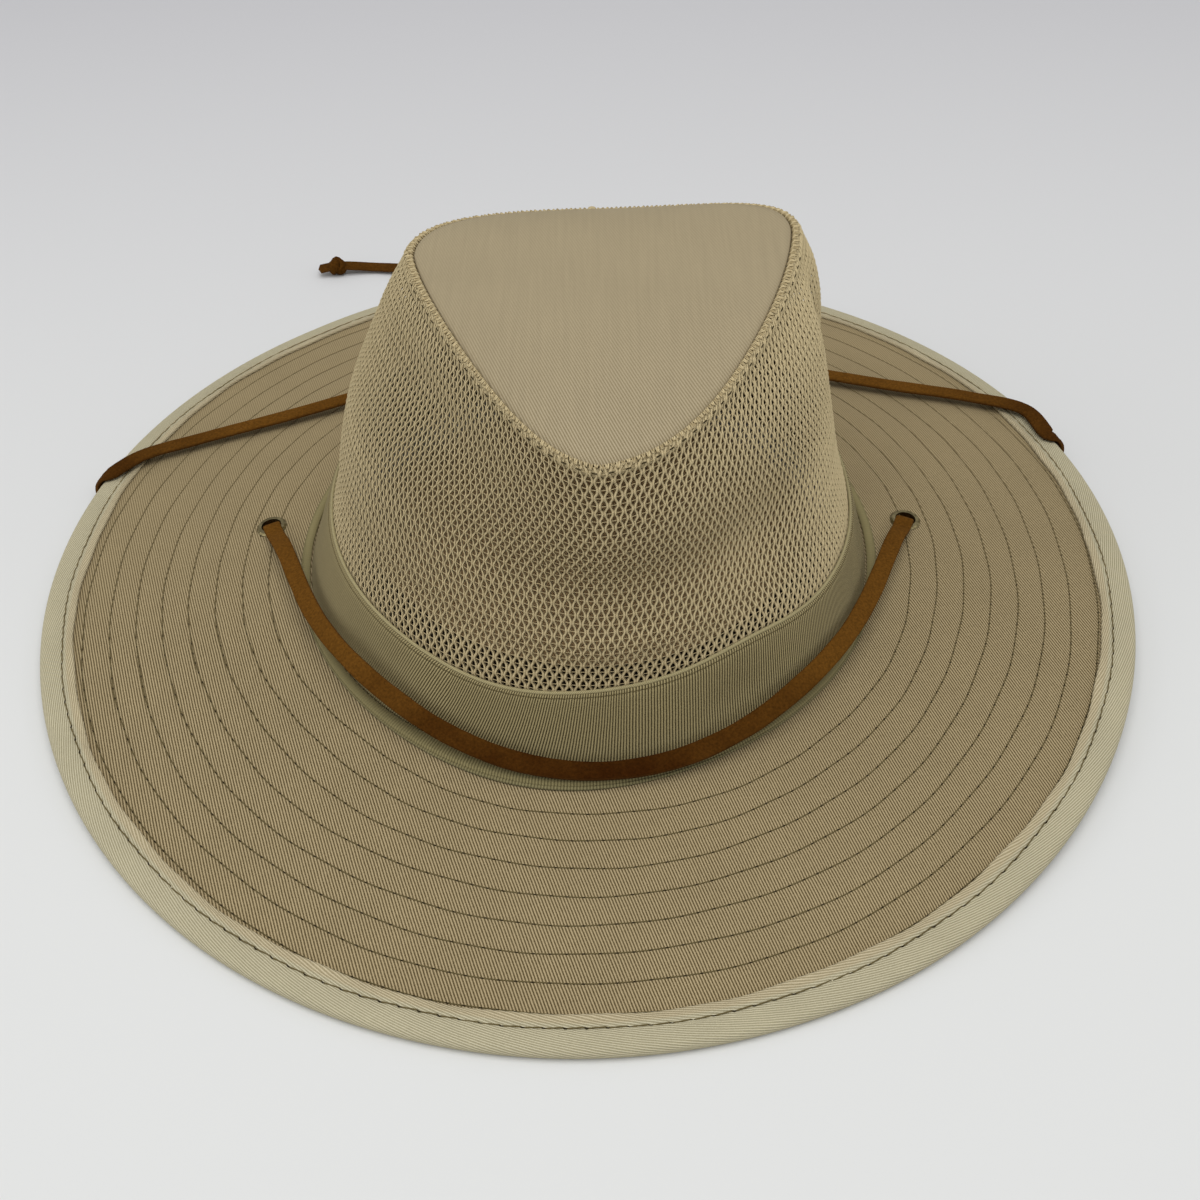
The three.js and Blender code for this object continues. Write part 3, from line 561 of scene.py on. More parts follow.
# Where the front lace leans up the band: angle, spread, rise
LACE_LEANS = [(-138, 31, 9), (-41, 27, 6.5)]
LEAN_IN, LEAN_TURN = 0.3, 0.09
WRAP_DRIFT = 1.2
LACE_NEAR = 1.2
STRAP_STEP, STRAP_SIDES = 1.0, 16
KNOT_WIDTH, KNOT_HEIGHT, KNOT_STEPS = 8.2, 7, 97
KNOT_STRAP, KNOT_LOOPS = (4.6, 2.2), (2.6, 2.9, 2.0)
SLIDE_X, SLIDE_Y, SLIDE_WIDTH, SLIDE_WALL = 5, 118, 10, 1.6
SLOT_WIDTH, SLOT_HEIGHT = LACE_WIDTH + 2 * RING_GAP, 2 * LACE_WALL + 3 * RING_GAP
UP, DOWN = np.array([0, 0, 1.0]), np.array([0, 0, -1.0])

# Stops: how the height is given, then x, y and millimetres; or a turn round the edge, or the slide
LEFT_ROUTE = [
    ("under", -112, 15, 1.6), ("under", -135, 27, 1.2), ("under", -155, 37, 1.6), ("wrap", 166),
    ("over", -158, 55, 2.6), ("over", -140, 64, 2.4), ("over", -105, 77.5, 2.6), ("over", -60, 95.5, 3),
    ("over", -24, 113, 1.2), ("slide", -1, 1), ("over", 32, 127, 1), ("over", 48, 150, 1),
    ("over", 58, 168, 2.4), ("at", 63, 180.5, 5), ("at", 68, 189, 2.4), ("at", 73, 197, 3.7),
    ("at", 77, 204, 2.6),
]
RIGHT_ROUTE = [
    ("under", 113, 11, 1.6), ("under", 135, 27, 1.2), ("under", 153, 42, 1.6), ("wrap", 16.5),
    ("over", 160, 68, 2.6), ("over", 142, 78, 2.4), ("over", 111, 87.5, 2.6), ("over", 70, 100, 3),
    ("over", 34, 113, 4.8), ("slide", 1, -1), ("over", -22, 128, 5), ("over", -42, 152, 1),
    ("over", -53, 168, 2.4), ("at", -60, 179.5, 5.2), ("at", -72, 189, 2.6), ("at", -88, 192.5, 2),
    ("at", -104, 191.2, 3.7), ("at", -112, 189.8, 3),
]


def smooth_curve(points, shares):
    """A centripetal spline through points, at shares of its length counted in spans."""
    points = np.asarray(points, float)
    padded = np.vstack([2 * points[0] - points[1], points, 2 * points[-1] - points[-2]])
    at = np.asarray(shares) * (len(points) - 1)
    span = np.minimum(at.astype(int), len(points) - 2)
    w = (at - span)[:, None]
    p0, p1, p2, p3 = (padded[span + k] for k in range(4))
    d0, d1, d2 = (np.sqrt(np.linalg.norm(b - a, axis=1))[:, None] for a, b in ((p0, p1), (p1, p2), (p2, p3)))
    d1 = np.where(d1 < 1e-4, 1, d1)
    d0, d2 = np.where(d0 < 1e-4, d1, d0), np.where(d2 < 1e-4, d1, d2)
    t1 = ((p1 - p0) / d0 - (p2 - p0) / (d0 + d1) + (p2 - p1) / d1) * d1
    t2 = ((p2 - p1) / d1 - (p3 - p1) / (d1 + d2) + (p3 - p2) / d2) * d1
    return (p1 + t1 * w + (-3 * p1 + 3 * p2 - 2 * t1 - t2) * w**2 + (2 * p1 - 2 * p2 + t1 + t2) * w**3)


def eyelet_frame(name):
    """An eyelet's middle and the brim's upward direction there."""
    degrees, share = EYELETS[name]
    angle = np.radians(degrees)
    return brim_point(angle, share), brim_normal(angle, share)


def through_eyelet(name, towards, side, near=0.0):
    """The lace's first points, from an eyelet's bore over its rim toward a place, and how its face turns."""
    middle, normal = eyelet_frame(name)
    normal = normal * side
    out = np.array([towards[0] - middle[0], towards[1] - middle[1], 0])
    out = unit(out - normal * (out @ normal))
    rim = BRIM_WALL / 2 + GAP + EYELET_PLATE + GAP + LACE_WALL / 2
    stops = [(near, 0.3), (near, rim - 1.2), (near + 1.1, rim + 0.4), (EYELET_FLANGE + 1, rim)]
    return [middle + out * reach + normal * rise for reach, rise in stops], [-out, -out, normal - out, normal]


def front_lace():
    reach = RING_GAP + GAP + LACE_WIDTH / 2
    rise = BRIM_WALL / 2 + 2 * GAP + LIP_WALL + LACE_WALL / 2 + RING_GAP
    angles = np.radians(np.linspace(FRONT_FROM, FRONT_TO, 11))
    normals = brim_normal(angles, reach / brim_reach(angles))
    lean = sum(up * bump(np.degrees(angles), centre, spread) for centre, spread, up in LACE_LEANS)[:, None]
    out = place(np.cos(angles), np.sin(angles), 0)
    run = brim_at(angles, reach) + normals * rise + UP * lean - out * LEAN_IN * lean
    normals = unit(normals + out * LEAN_TURN * lean)

    def crossing(name, seat, lift):
        middle, normal = eyelet_frame(name)
        point = lerp(middle, seat, LIP_CROSSING)
        point[2] = brim_height(point[0], point[1]) + rise + LIP_CROSSING * lift
        return point, normal

    first = crossing("eyelet_left", run[0], lean[0, 0])
    last = crossing("eyelet_right", run[-1], lean[-1, 0])
    start = through_eyelet("eyelet_left", first[0], 1, LACE_NEAR)
    end = through_eyelet("eyelet_right", last[0], 1, LACE_NEAR)
    points = [*start[0], first[0], *run, last[0], *end[0][::-1]]
    return points, [*start[1], first[1], *normals, last[1], *end[1][::-1]]


def wrap_points(degrees):
    """The lace's turn round the brim's edge, from below to above."""
    angle = np.radians(degrees)
    edge = brim_edge(angle)
    along = brim_edge(angle + 0.01) - edge
    along = unit(np.array([along[0], along[1], 0]))
    out = np.array([along[1], -along[0], 0])
    roll = BINDING_HEIGHT / 2
    turns = np.pi * np.array([-0.5, -0.25, 0, 0.25, 0.5])
    faces = [out * math.cos(t) + UP * math.sin(t) for t in turns]
    drift = np.sign(along[1]) * WRAP_DRIFT
    points = [edge - out * roll + along * drift * (i - 2) + face * (roll + RING_GAP + LACE_WALL / 2)
              for i, face in enumerate(faces)]
    return points, faces


def slide_middle():
    w, l = SLOT_WIDTH / 2 + SLIDE_WALL, SLIDE_WIDTH / 2
    seat = max(brim_height(SLIDE_X + x, SLIDE_Y + y) for x in (-l, l) for y in (-w, w))
    return seat + BRIM_WALL / 2 + GAP + SLIDE_WALL + SLOT_HEIGHT / 2


def slide_points(side, heading):
    """The lace's straight run through the slide, in its upper or lower half."""
    z = slide_middle() + side * (LACE_WALL + RING_GAP) / 2
    near = SLIDE_WIDTH / 2 + 1
    return [np.array([SLIDE_X + heading * x, SLIDE_Y, z]) for x in (-near - 5, -near, near, near + 5)]


def free_lace(name, route):
    """A lace from its eyelet along its route."""
    points, faces = through_eyelet(name, route[0][1:3], -1)
    face = DOWN
    off = BRIM_WALL / 2 + LACE_WALL / 2
    for kind, *numbers in route:
        if kind == "wrap":
            stops, turned = wrap_points(numbers[0])
            points, faces, face = points + stops, faces + turned, UP
            continue
        if kind == "slide":
            stops = slide_points(*numbers)
        elif kind == "at":
            stops = [np.array(numbers, float)]
        else:
            x, y, more = numbers
            above = 1 if kind == "over" else -1
            stops = [np.array([x, y, brim_height(x, y) + above * (off + more)])]
        points, faces = points + stops, faces + [face] * len(stops)
    return points, faces


def even_steps(points, faces, step):
    """The curve and its facing at even steps, in millimetres."""
    fine = np.linspace(0, 1, 3000)
    curve = smooth_curve(points, fine)
    run = run_along(curve)
    share = np.interp(np.linspace(0, run[-1], int(run[-1] / step) + 1), run, fine)
    return smooth_curve(points, share), smooth_curve(faces, share), run[-1]


def add_strap(name, points, faces, material):
    """A suede strap with soft corners and slightly uneven cut edges. Returns it, its path and its length."""
    path, facing, length = even_steps(points, faces, STRAP_STEP)
    along = unit(np.gradient(path, axis=0))
    side = unit(np.cross(along, facing))
    rise = np.cross(side, along)
    turn = full_turn(STRAP_SIDES)
    across = LACE_WIDTH / 2 * cornered(np.cos(turn), 0.4)
    high = LACE_WALL / 2 * cornered(np.sin(turn), 0.55)
    at = np.arange(len(path)) * STRAP_STEP
    uneven = 1 + 0.02 * np.sin(at / 7.3) + 0.012 * np.sin(at / 2.9 + 1)
    uneven = uneven + 0.006 * random.standard_normal(len(at))
    ends = np.ones(len(path))
    ends[[0, -1]] = 0.02
    ring = (side[:, None] * (across * (uneven * ends)[:, None])[..., None]
            + rise[:, None] * (high * ends[:, None])[..., None])
    cell = (STRAP_STEP, np.append(across, across[0]))
    return add_grid(name, path[:, None] + ring, material, wrap_rows=False, step=cell), path, length


def add_knot(name, place_mm, towards, material):
    """An overhand knot drawn tight, its flat strap wound round itself."""
    t = np.linspace(0, TURN, KNOT_STEPS)
    path = place(np.sin(t) + 2 * np.sin(2 * t), np.cos(t) - 2 * np.cos(2 * t), -1.6 * np.sin(3 * t))
    path = path / 3 * np.array(KNOT_LOOPS)
    heading = math.atan2(towards[1] - place_mm[1], towards[0] - place_mm[0])
    c, s = math.cos(heading), math.sin(heading)
    path = path @ np.array([[c, s, 0], [-s, c, 0], [0, 0, 1]]) + place_mm
    facing = unit(path - np.asarray(place_mm))
    width, wall = (np.full((1, KNOT_STEPS), size) for size in KNOT_STRAP)
    points, faces = tubes(path[None], facing[None], width, wall, sides=10)
    sizes = np.array([KNOT_WIDTH, KNOT_WIDTH, KNOT_HEIGHT])
    low, high = points.min(0), points.max(0)
    points = (points - (low + high) / 2) * sizes / (high - low) + place_mm
    return add_mesh(name, points, faces, material, np.zeros((len(faces) * 4, 2)))


# Lace colours: the dark front, partly painted shade; the painted highlight along the cut edges; the golden
# lace.
lace_suede = suede("lace suede", linear(52, 26, 5), linear(88, 58, 26), linear(98, 64, 21))

lace_front, _, _ = add_strap("lace_front_strap", *front_lace(), lace_suede)
attach(lace_front, "lace_front")


def add_slide():
    """A leather keeper round both laces, with soft edges."""
    z = slide_middle()
    turn = full_turn(48)

    def outline(width, height, power):
        return width / 2 * cornered(np.cos(turn), power), height / 2 * cornered(np.sin(turn), power)

    inner = outline(SLOT_WIDTH, SLOT_HEIGHT, 0.3)
    outer = outline(SLOT_WIDTH + 2 * SLIDE_WALL, SLOT_HEIGHT + 2 * SLIDE_WALL, 0.34)
    half = SLIDE_WIDTH / 2
    section = [(-half, 0.15), (-half, 0.8), (-half + 0.5, 1), (-half / 2, 1.02), (0, 1.03), (half / 2, 1.02),
               (half - 0.5, 1), (half, 0.8), (half, 0.15), (half - 0.4, 0), (0, 0), (-half + 0.4, 0)]
    rings = [place(SLIDE_X + x, SLIDE_Y + lerp(inner[0], outer[0], out), z + lerp(inner[1], outer[1], out))
             for x, out in section]
    return add_grid("slide_keeper", np.stack(rings), lace_suede, step=(1, 0.5), flip=True)


slide = add_slide()
attach(slide, "lace_slide")

for side, route in (("left", LEFT_ROUTE), ("right", RIGHT_ROUTE)):
    points, faces = free_lace("eyelet_" + side, route)
    strap, path, length = add_strap(f"lace_{side}_strap", points, faces, lace_suede)
    knot = add_knot(f"lace_{side}_knot", points[-2], points[-1], lace_suede)
    attach(strap, f"lace_{side}")
    attach(knot)


# Brim

brim_twill = twill("brim twill", linear(182, 164, 127), linear(86, 72, 44), 109, 0.79,
                   fade=("Y", -40, 70, 0.0, 0.7))
binding_twill = twill("binding twill", linear(205, 197, 168), linear(162, 153, 122), 12, 0.65, flat=False,
                      flap=(3.3, linear(253, 246, 240)))
band_twill = twill("band twill", linear(172, 158, 116), linear(60, 51, 30), 90, 0.84, flat=False,
                   lean=(122, 172, -0.43, -0.03), fade=("X", -72, -44, 0.85, 0.0))
# The lip's inner strip, next to the band, is tinted lighter: partly its own paler fold, partly painted light
# where the lace's shadow falls.
lip_twill = twill("lip twill", linear(134, 127, 94), linear(92, 86, 60), 90, 0.9, flat=False, depth=0.08,
                  fade=("Y", -92, -66, 0.0, 0.9), flap=(4.2, linear(298, 293, 284)))
piping_twill = twill("piping twill", linear(174, 163, 124), linear(142, 131, 95), 60, 0.5, flat=False,
                     depth=0.05)
top_twill = twill("top twill", linear(180, 166, 137), linear(134, 120, 91), 109, 0.79, mottle=0.04,
                  depth=0.08, fade=("Y", -75, 5, 0.0, 0.85), streaks=0.12)
net_yarn = twill("net yarn", linear(202, 185, 145), linear(170, 152, 114), 90, 0.4, flat=False)
# The second colour of each thread is the painted shade at its needle holes.
thread = stitching("thread", linear(106, 94, 62), linear(46, 38, 22), linear(150, 134, 100))
seam_thread = stitching("seam thread", linear(62, 53, 32), linear(40, 33, 20))
inner_twill = twill("inner band cloth", linear(52, 40, 27), linear(30, 23, 14), 90, 0.6, flat=False)

ROW_FIRST, ROW_STEP, ROWS = 14.7, 8.33, 8
ROW_LAST = ROW_FIRST + ROW_STEP * (ROWS - 1)
ROW_STITCH, ROW_GROOVE, ROW_QUILT = 4.4, 1.0, 0.2
# Where the first rows are drawn in: depth, bearing, spread
ROW_TUCK = (3, -136, 26)
# Lines of the two faces of the cloth, counted from each row of stitches
UPPER_LINES, LOWER_LINES = (-3.2, -1.5, -0.75, 0, 0.75, 1.5), (-3, 0)
CLOTH_HOLE = EYELET_BORE + 0.9
FOOT_INSET = BAND_WALL + NET_EASE + NET_WALL + GAP
BRIM_COLUMNS = 600


def brim_inner(angle, share):
    """The cloth's middle inside the band's foot, share 0 at its inner edge and 1 at the foot line."""
    inset = FOOT_INSET * (1 - share)
    x = FOOT_SHIFT + (FOOT_WIDTH / 2 - inset) * np.cos(angle)
    return place(x, (FOOT_LENGTH / 2 - inset) * np.sin(angle), BRIM_FOOT_HEIGHT)


def row_tuck(angle, row):
    """How far a row of stitches is drawn in, most in the first."""
    depth, bearing, spread = ROW_TUCK
    return depth * bump(np.degrees(angle), bearing, spread) * np.clip(1 - row / 4, 0, 1)


def brim_face(sign, lines, quilt):
    """The brim's upper or lower face, with a soft groove as deep as quilt along each stitched row."""
    angle = full_turn(BRIM_COLUMNS)[:, None]
    reach = brim_reach(angle)
    rows = ROW_FIRST + ROW_STEP * np.arange(ROWS)
    last = ROW_LAST + 3
    inside = [brim_inner(angle, share) for share in (0, 0.5)]
    near = rows[:, None] + np.array(lines)
    distance = np.concatenate([np.linspace(0, near[0, 0] - 2, 5), near.ravel(), [last]])[None]
    distance = np.concatenate([np.broadcast_to(distance, (BRIM_COLUMNS, distance.shape[1])),
                               lerp(last, reach - 1.2, np.linspace(0.25, 1, 4)[None])], 1)
    row = np.clip(np.round((distance - ROW_FIRST) / ROW_STEP), 0, ROWS - 1)
    off = distance - ROW_FIRST - row * ROW_STEP
    share = (distance - row_tuck(angle, row) * np.exp(-((off / 4) ** 2))) / reach
    height = sign * (BRIM_WALL / 2 - quilt * np.exp(-((off / ROW_GROOVE) ** 2)))
    cloth = brim_point(angle, share) + brim_normal(angle, share) * height[..., None]
    inside = [p + UP * sign * BRIM_WALL / 2 for p in inside]
    return np.concatenate([*inside, cloth], 1)


def add_brim():
    """The brim's cloth with its two holes. Its underside is plain."""
    upper = brim_face(1, UPPER_LINES, ROW_QUILT)
    lower = brim_face(-1, LOWER_LINES, 0.0)
    holes = [(*eyelet_frame(name), CLOTH_HOLE) for name in EYELETS]
    return add_grid("brim_cloth", np.concatenate([upper, lower[:, ::-1]], 1), brim_twill, flip=True,
                    holes=holes)


def brim_top(angle, distance, height):
    """Points at a height over the brim's upper face, and its upward directions."""
    share = distance / brim_reach(angle)
    normal = brim_normal(angle, share)
    return brim_point(angle, share) + normal * (BRIM_WALL / 2 + height)[..., None], normal


def stitch_uv(faces, sides, at):
    """The uv of each corner of a stitched line's tube, whose u counts the stitches."""
    u = at[faces.ravel() // sides]
    return np.stack([u, np.zeros(len(u))], 1)


def add_rows():
    """Eight rows of stitches round the brim, each stitch sinking at its needle holes."""
    points, faces, uv, start = [], [], [], 0
    for row in range(ROWS):
        distance = ROW_FIRST + ROW_STEP * row
        length = TURN * (FOOT_WIDTH + FOOT_LENGTH) / 4 + TURN * distance
        stitches = int(length / ROW_STITCH)
        at = np.arange(stitches * 6 + 1) / 6
        angle = TURN * at / stitches
        wander = 0.25 * np.sin(angle * 9 + row) + 0.12 * np.sin(angle * 31 + 2 * row)
        arch = np.abs(np.sin(np.pi * at)) ** 0.4
        path, normal = brim_top(angle, distance + wander - row_tuck(angle, row), lerp(-0.2, -0.04, arch))
        thick = lerp(0.46, 0.32, arch)[None]
        tube, quads = tubes(path[None], normal[None], thick, thick * 0.8, sides=4)
        points.append(tube)
        faces.append(quads + start)
        uv.append(stitch_uv(quads, 4, at))
        start += len(tube)
    points, faces, uv = (np.concatenate(parts) for parts in (points, faces, uv))
    return add_mesh("brim_stitches", points, faces, thread, uv)


STITCH_INSET, STITCH_PITCH = 7.0, 5.4
BINDING_BACK, BINDING_COLUMNS = 0.76, 960


def binding_share(angle):
    """How wide the tape looks, as a share of its width at the front."""
    back = np.clip(np.sin(angle) * 1.6, 0, 1)
    return lerp(1, BINDING_BACK, back * back * (3 - 2 * back))


def binding_section():
    """The tape's section: distance in from the edge and height over the cloth's middle, in stops."""
    roll = BINDING_HEIGHT / 2
    upper = [(BINDING_WIDTH, BRIM_WALL / 2 + GAP), (BINDING_WIDTH, roll - 0.12), (BINDING_WIDTH - 0.5, roll),
             (BINDING_WIDTH - 1.6, roll - 0.02), (8.0, roll - 0.08), (STITCH_INSET + 0.4, roll - 0.24),
             (STITCH_INSET, roll - 0.3), (STITCH_INSET - 0.4, roll - 0.22), (5.6, roll - 0.02),
             (4.2, roll), (3.0, roll)]
    curve = [(2.0 - 2.0 * math.sin(a), roll * math.cos(a)) for a in np.linspace(0.15, math.pi - 0.15, 12)]
    lower = [(d, -h) for d, h in reversed(upper)]
    return np.array(upper + curve + lower)


def add_binding():
    """The tape round the brim's edge, with soft puckers along its stitches."""
    angle = full_turn(BINDING_COLUMNS)
    reach = brim_reach(angle)
    run = run_along(brim_edge(np.append(angle, TURN)))
    at = run[:-1]
    pucker = 0.10 * np.sin(TURN * at / STITCH_PITCH) + 0.09 * np.sin(at / 7.7) + 0.06 * np.sin(at / 3.1 + 1)
    rings = []
    for distance, height in binding_section():
        share = 1 - distance * binding_share(angle) / reach
        near = math.exp(-(((distance - STITCH_INSET) / 2.6) ** 2))
        upper = max(min(height, 1.0), 0)
        flap = 0.25 * np.sin(at / 11.3) + 0.15 * np.sin(at / 4.1) if distance > 9 else 0
        share = share + flap / reach
        point = brim_point(angle, share)
        point[:, 2] += height - upper * near * (0.12 + pucker) * 0.8
        rings.append(point)
    rings = np.stack(rings, 1)
    return add_grid("binding_tape", rings, binding_twill, wrap_columns=False,
                    step=(run, run_along(rings[0])), flip=True)


def add_edge_stitches():
    """A row of slanted stitches along the binding."""
    length = TURN * (BRIM_WIDTH + BRIM_LENGTH) / 4 - TURN * STITCH_INSET
    stitches = int(length / STITCH_PITCH)
    at = np.arange(stitches * 8 + 1) / 8
    angle = TURN * at / stitches
    along = at % 1
    arch = np.abs(np.sin(np.pi * at)) ** 0.5
    inset = STITCH_INSET + 0.32 * (along - 0.5) + 0.15 * np.sin(angle * 23)
    share = 1 - inset * binding_share(angle) / brim_reach(angle)
    point = brim_point(angle, share)
    point[:, 2] += BINDING_HEIGHT / 2 - 0.28 + lerp(-0.14, 0.06, arch)
    thick = lerp(0.5, 0.38, arch)[None]
    points, faces = tubes(point[None], brim_normal(angle, share)[None], thick, thick, sides=5)
    return add_mesh("binding_stitches", points, faces, thread, stitch_uv(faces, 5, at))


attach(add_brim(), "brim")
attach(add_rows())
attach(add_binding(), "brim_binding")
attach(add_edge_stitches())


# Hat band and the folded lip at its foot


def even_bearings(count, line):
    """Bearings about the crown's axis at even steps along a line round it, with the run in millimetres."""
    fine = TURN * np.arange(7201) / 7200 - np.pi
    run = run_along(line(fine))
    even = np.linspace(0, run[-1], count + 1)
    return np.interp(even, run, fine)[:-1], even


def crown_bearings(count):
    """Even steps along the net's foot line."""
    return even_bearings(count, lambda bearing: band_inside(bearing, BAND_TOP))


PIPING, PIPING_INSET, BAND_STITCH = 1.1, 0.9, 3.2
# The groove along the band's stitches: level, depth
BAND_GROOVE = [(0.905, 0.05), (0.93, 0.35), (0.955, 0.2)]
# The lip's width behind, as a share of its width in front, and where it is widest: bearing, spread
LIP_BACK, LIP_FRONT = 0.45, (-98, 25)
# Small creases in the band: bearing, spread, depth
BAND_CREASES = [(-39, 1.7, 0.55), (-34.5, 1.5, -0.4), (-30, 1.7, 0.5), (-24, 2, -0.3), (-121, 3, 0.4)]


def band_face(bearing, level, inset=0.0):
    """The band's creased face, at a level from 0 at its foot to 1 at its top edge."""
    crease = sum(depth * bump(np.degrees(bearing), centre, spread) for centre, spread, depth in BAND_CREASES)
    point = band_point(bearing, level)
    return outward(point, bearing, -inset - crease * math.sin(math.pi * min(level, 1)) ** 2)


def add_band():
    """The band's cloth, with a groove along the stitches below its top edge."""
    bearing, run = crown_bearings(720)
    rings = [band_face(bearing, level) for level in np.linspace(0, 0.88, 14)]
    rings += [band_face(bearing, level, inset) for level, inset in BAND_GROOVE]
    top = band_point(bearing, 1)
    rings += [outward(top, bearing, -PIPING_INSET, -0.7), outward(top, bearing, -BAND_WALL, -1.0)]
    rings += [band_face(bearing, level, BAND_WALL) for level in (0.88, 0.6, 0.3, 0.0)]
    rings = np.stack(rings, 1)
    return add_grid("band_cloth", rings, band_twill, wrap_columns=False, step=(run, run_along(rings[0])))


def round_rings(middle, bearing, radius, sides):
    """The surface of a round roll along a line round the crown."""
    rings = [outward(middle, bearing, radius * math.cos(a), radius * math.sin(a)) for a in full_turn(sides)]
    return np.stack(rings, 1)


def add_piping():
    """The thin folded edge along the band's top."""
    bearing, run = crown_bearings(900)
    middle = outward(band_point(bearing, 1), bearing, -PIPING_INSET, -PIPING / 2)
    radius = PIPING / 2 * (1 + 0.04 * np.sin(run[:-1] * 1.7) + 0.03 * np.sin(run[:-1] * 0.61))
    return add_grid("band_piping", round_rings(middle, bearing, radius, 8), piping_twill, step=(run, 0.5))


def add_band_stitches():
    """A fine line of stitches in the groove below the band's top edge."""
    bearing, run = crown_bearings(1080)
    at = run[:-1] / BAND_STITCH
    arch = np.abs(np.sin(np.pi * at)) ** 0.5
    path = outward(band_face(bearing, 0.93, 0.25), bearing, lerp(-0.15, 0.02, arch))
    out = place(np.cos(bearing), np.sin(bearing), 0.3)
    size = np.full((1, len(path)), 0.28)
    points, faces = tubes(path[None], unit(out)[None], size, size, 3)
    return add_mesh("band_stitches", points, faces, thread, stitch_uv(faces, 3, at))


def add_lip():
    """The folded strip on the brim, widest at the front, with a second thin ridge at its outer edge."""
    angle = full_turn(900)
    wide = lerp(LIP_BACK, 1, bump(np.degrees(angle), *LIP_FRONT))
    start, end = RING_GAP, RING_GAP + LIP_WIDTH
    ridge = end - 1.5
    section = [(start, 0), (start, LIP_WALL), (lerp(start, end, 0.5), LIP_WALL), (ridge - 1.0, LIP_WALL),
               (ridge - 0.4, LIP_WALL * 0.92), (ridge - 0.05, LIP_WALL * 0.7), (ridge + 0.15, LIP_WALL * 0.2),
               (ridge + 0.4, LIP_WALL * 0.45), (ridge + 0.8, LIP_WALL * 0.55), (ridge + 1.2, LIP_WALL * 0.42),
               (end, 0.15), (end - 0.3, 0)]
    rings = []
    for distance, height in section:
        point = brim_at(angle, start + (distance - start) * wide)
        point[:, 2] += BRIM_WALL / 2 + GAP + height * wide
        rings.append(point)
    rings = np.stack(rings, 1)
    run = run_along(np.vstack([rings[:, 3], rings[:1, 3]]))
    return add_grid("lip_cloth", rings, lip_twill, wrap_columns=False, step=(run, run_along(rings[0])),
                    flip=True)


attach(add_band(), "hat_band")
attach(add_lip(), "band_lip")
attach(add_piping())
attach(add_band_stitches())


# Net crown

PITCH, NET_ROWS, ROW_SEGMENTS = 1.33, 37, 4
STRAND_WIDTH, STRAND_HEIGHT, STRAND_SWAY = 1.03, 0.58, 0.27
NET_START, NET_LEAN = BAND_TOP - 9, 0.8
# How high the inner band shows, as a share of the net's height, and where it is lowest: bearing, spread
INNER_FRONT, INNER_SIDE, INNER_LOW = 0.055, 0.13, (-92, 38)
ROLL_END = 162
BACK_SEAM, SEAM_LOOPS, LOOP_STEPS, SEAM_STITCHES = 2.6, 290, 6, 94


def even_lines(lines, steps):
    """Each line's points moved to even steps along it."""
    run = run_along(lines.swapaxes(0, 1)).T
    even = run[:, -1:] * np.linspace(0, 1, steps)[None]
    out = np.empty((len(lines), steps, 3))
    for k in range(len(lines)):
        for axis in range(3):
            out[k, :, axis] = np.interp(even[k], run[k], lines[k, :, axis])
    return out


def seam_place(bearing, degrees, r):
    """A place on the rolled edge: 0 degrees looks outward, 90 up and 180 at the panel."""
    a = np.radians(degrees)
    return outward(roll_point(bearing), bearing, r * np.cos(a), r * np.sin(a))


def net_wall(steps):
    """The wall and seam roll as a grid, from the back round the left, front and right to the back."""
    bearing = np.radians(np.linspace(-270, 90, 1441))
    low = [outward(band_inside(bearing, z), bearing, NET_LEAN)
           for z in np.linspace(NET_START, BAND_TOP, 4)[:-1]]
    wall = [outward(net_point(bearing, level), bearing, NET_LEAN * max(1 - level / 0.15, 0))
            for level in np.linspace(0, 0.97, 60)]
    roll = [seam_place(bearing, degrees, SEAM_ROLL / 2 - 0.2) for degrees in np.linspace(8, ROLL_END, 12)]
    return even_lines(np.stack([*low, *wall, *roll], 1), steps)


def net_strand_lines():
    """Upright strands at one pitch, counted from the front, that end at the seam behind the crown."""
    steps = NET_ROWS * ROW_SEGMENTS + 1
    grid = net_wall(steps)
    front = len(grid) // 2
    run = run_along(grid)
    run = run - run[front]
    side = unit(np.gradient(grid, axis=0))
    face = unit(np.cross(side, unit(np.gradient(grid, axis=1))))
    half = int(run[-1, 0] / PITCH)
    places = PITCH * (np.arange(-half, half) + 0.5)
    at = np.stack([np.interp(places, run[:, j], np.arange(len(grid))) for j in range(steps)], 1)
    inside = (places[:, None] < run[-1] - 0.5) & (places[:, None] > run[0] + 0.5)
    low = np.minimum(at.astype(int), len(grid) - 2)
    share = (at - low)[..., None]
    j = np.arange(steps)[None]
    lines, side, face = (lerp(v[low, j], v[low + 1, j], share) for v in (grid, side, face))
    return lines, unit(side), unit(face), inside


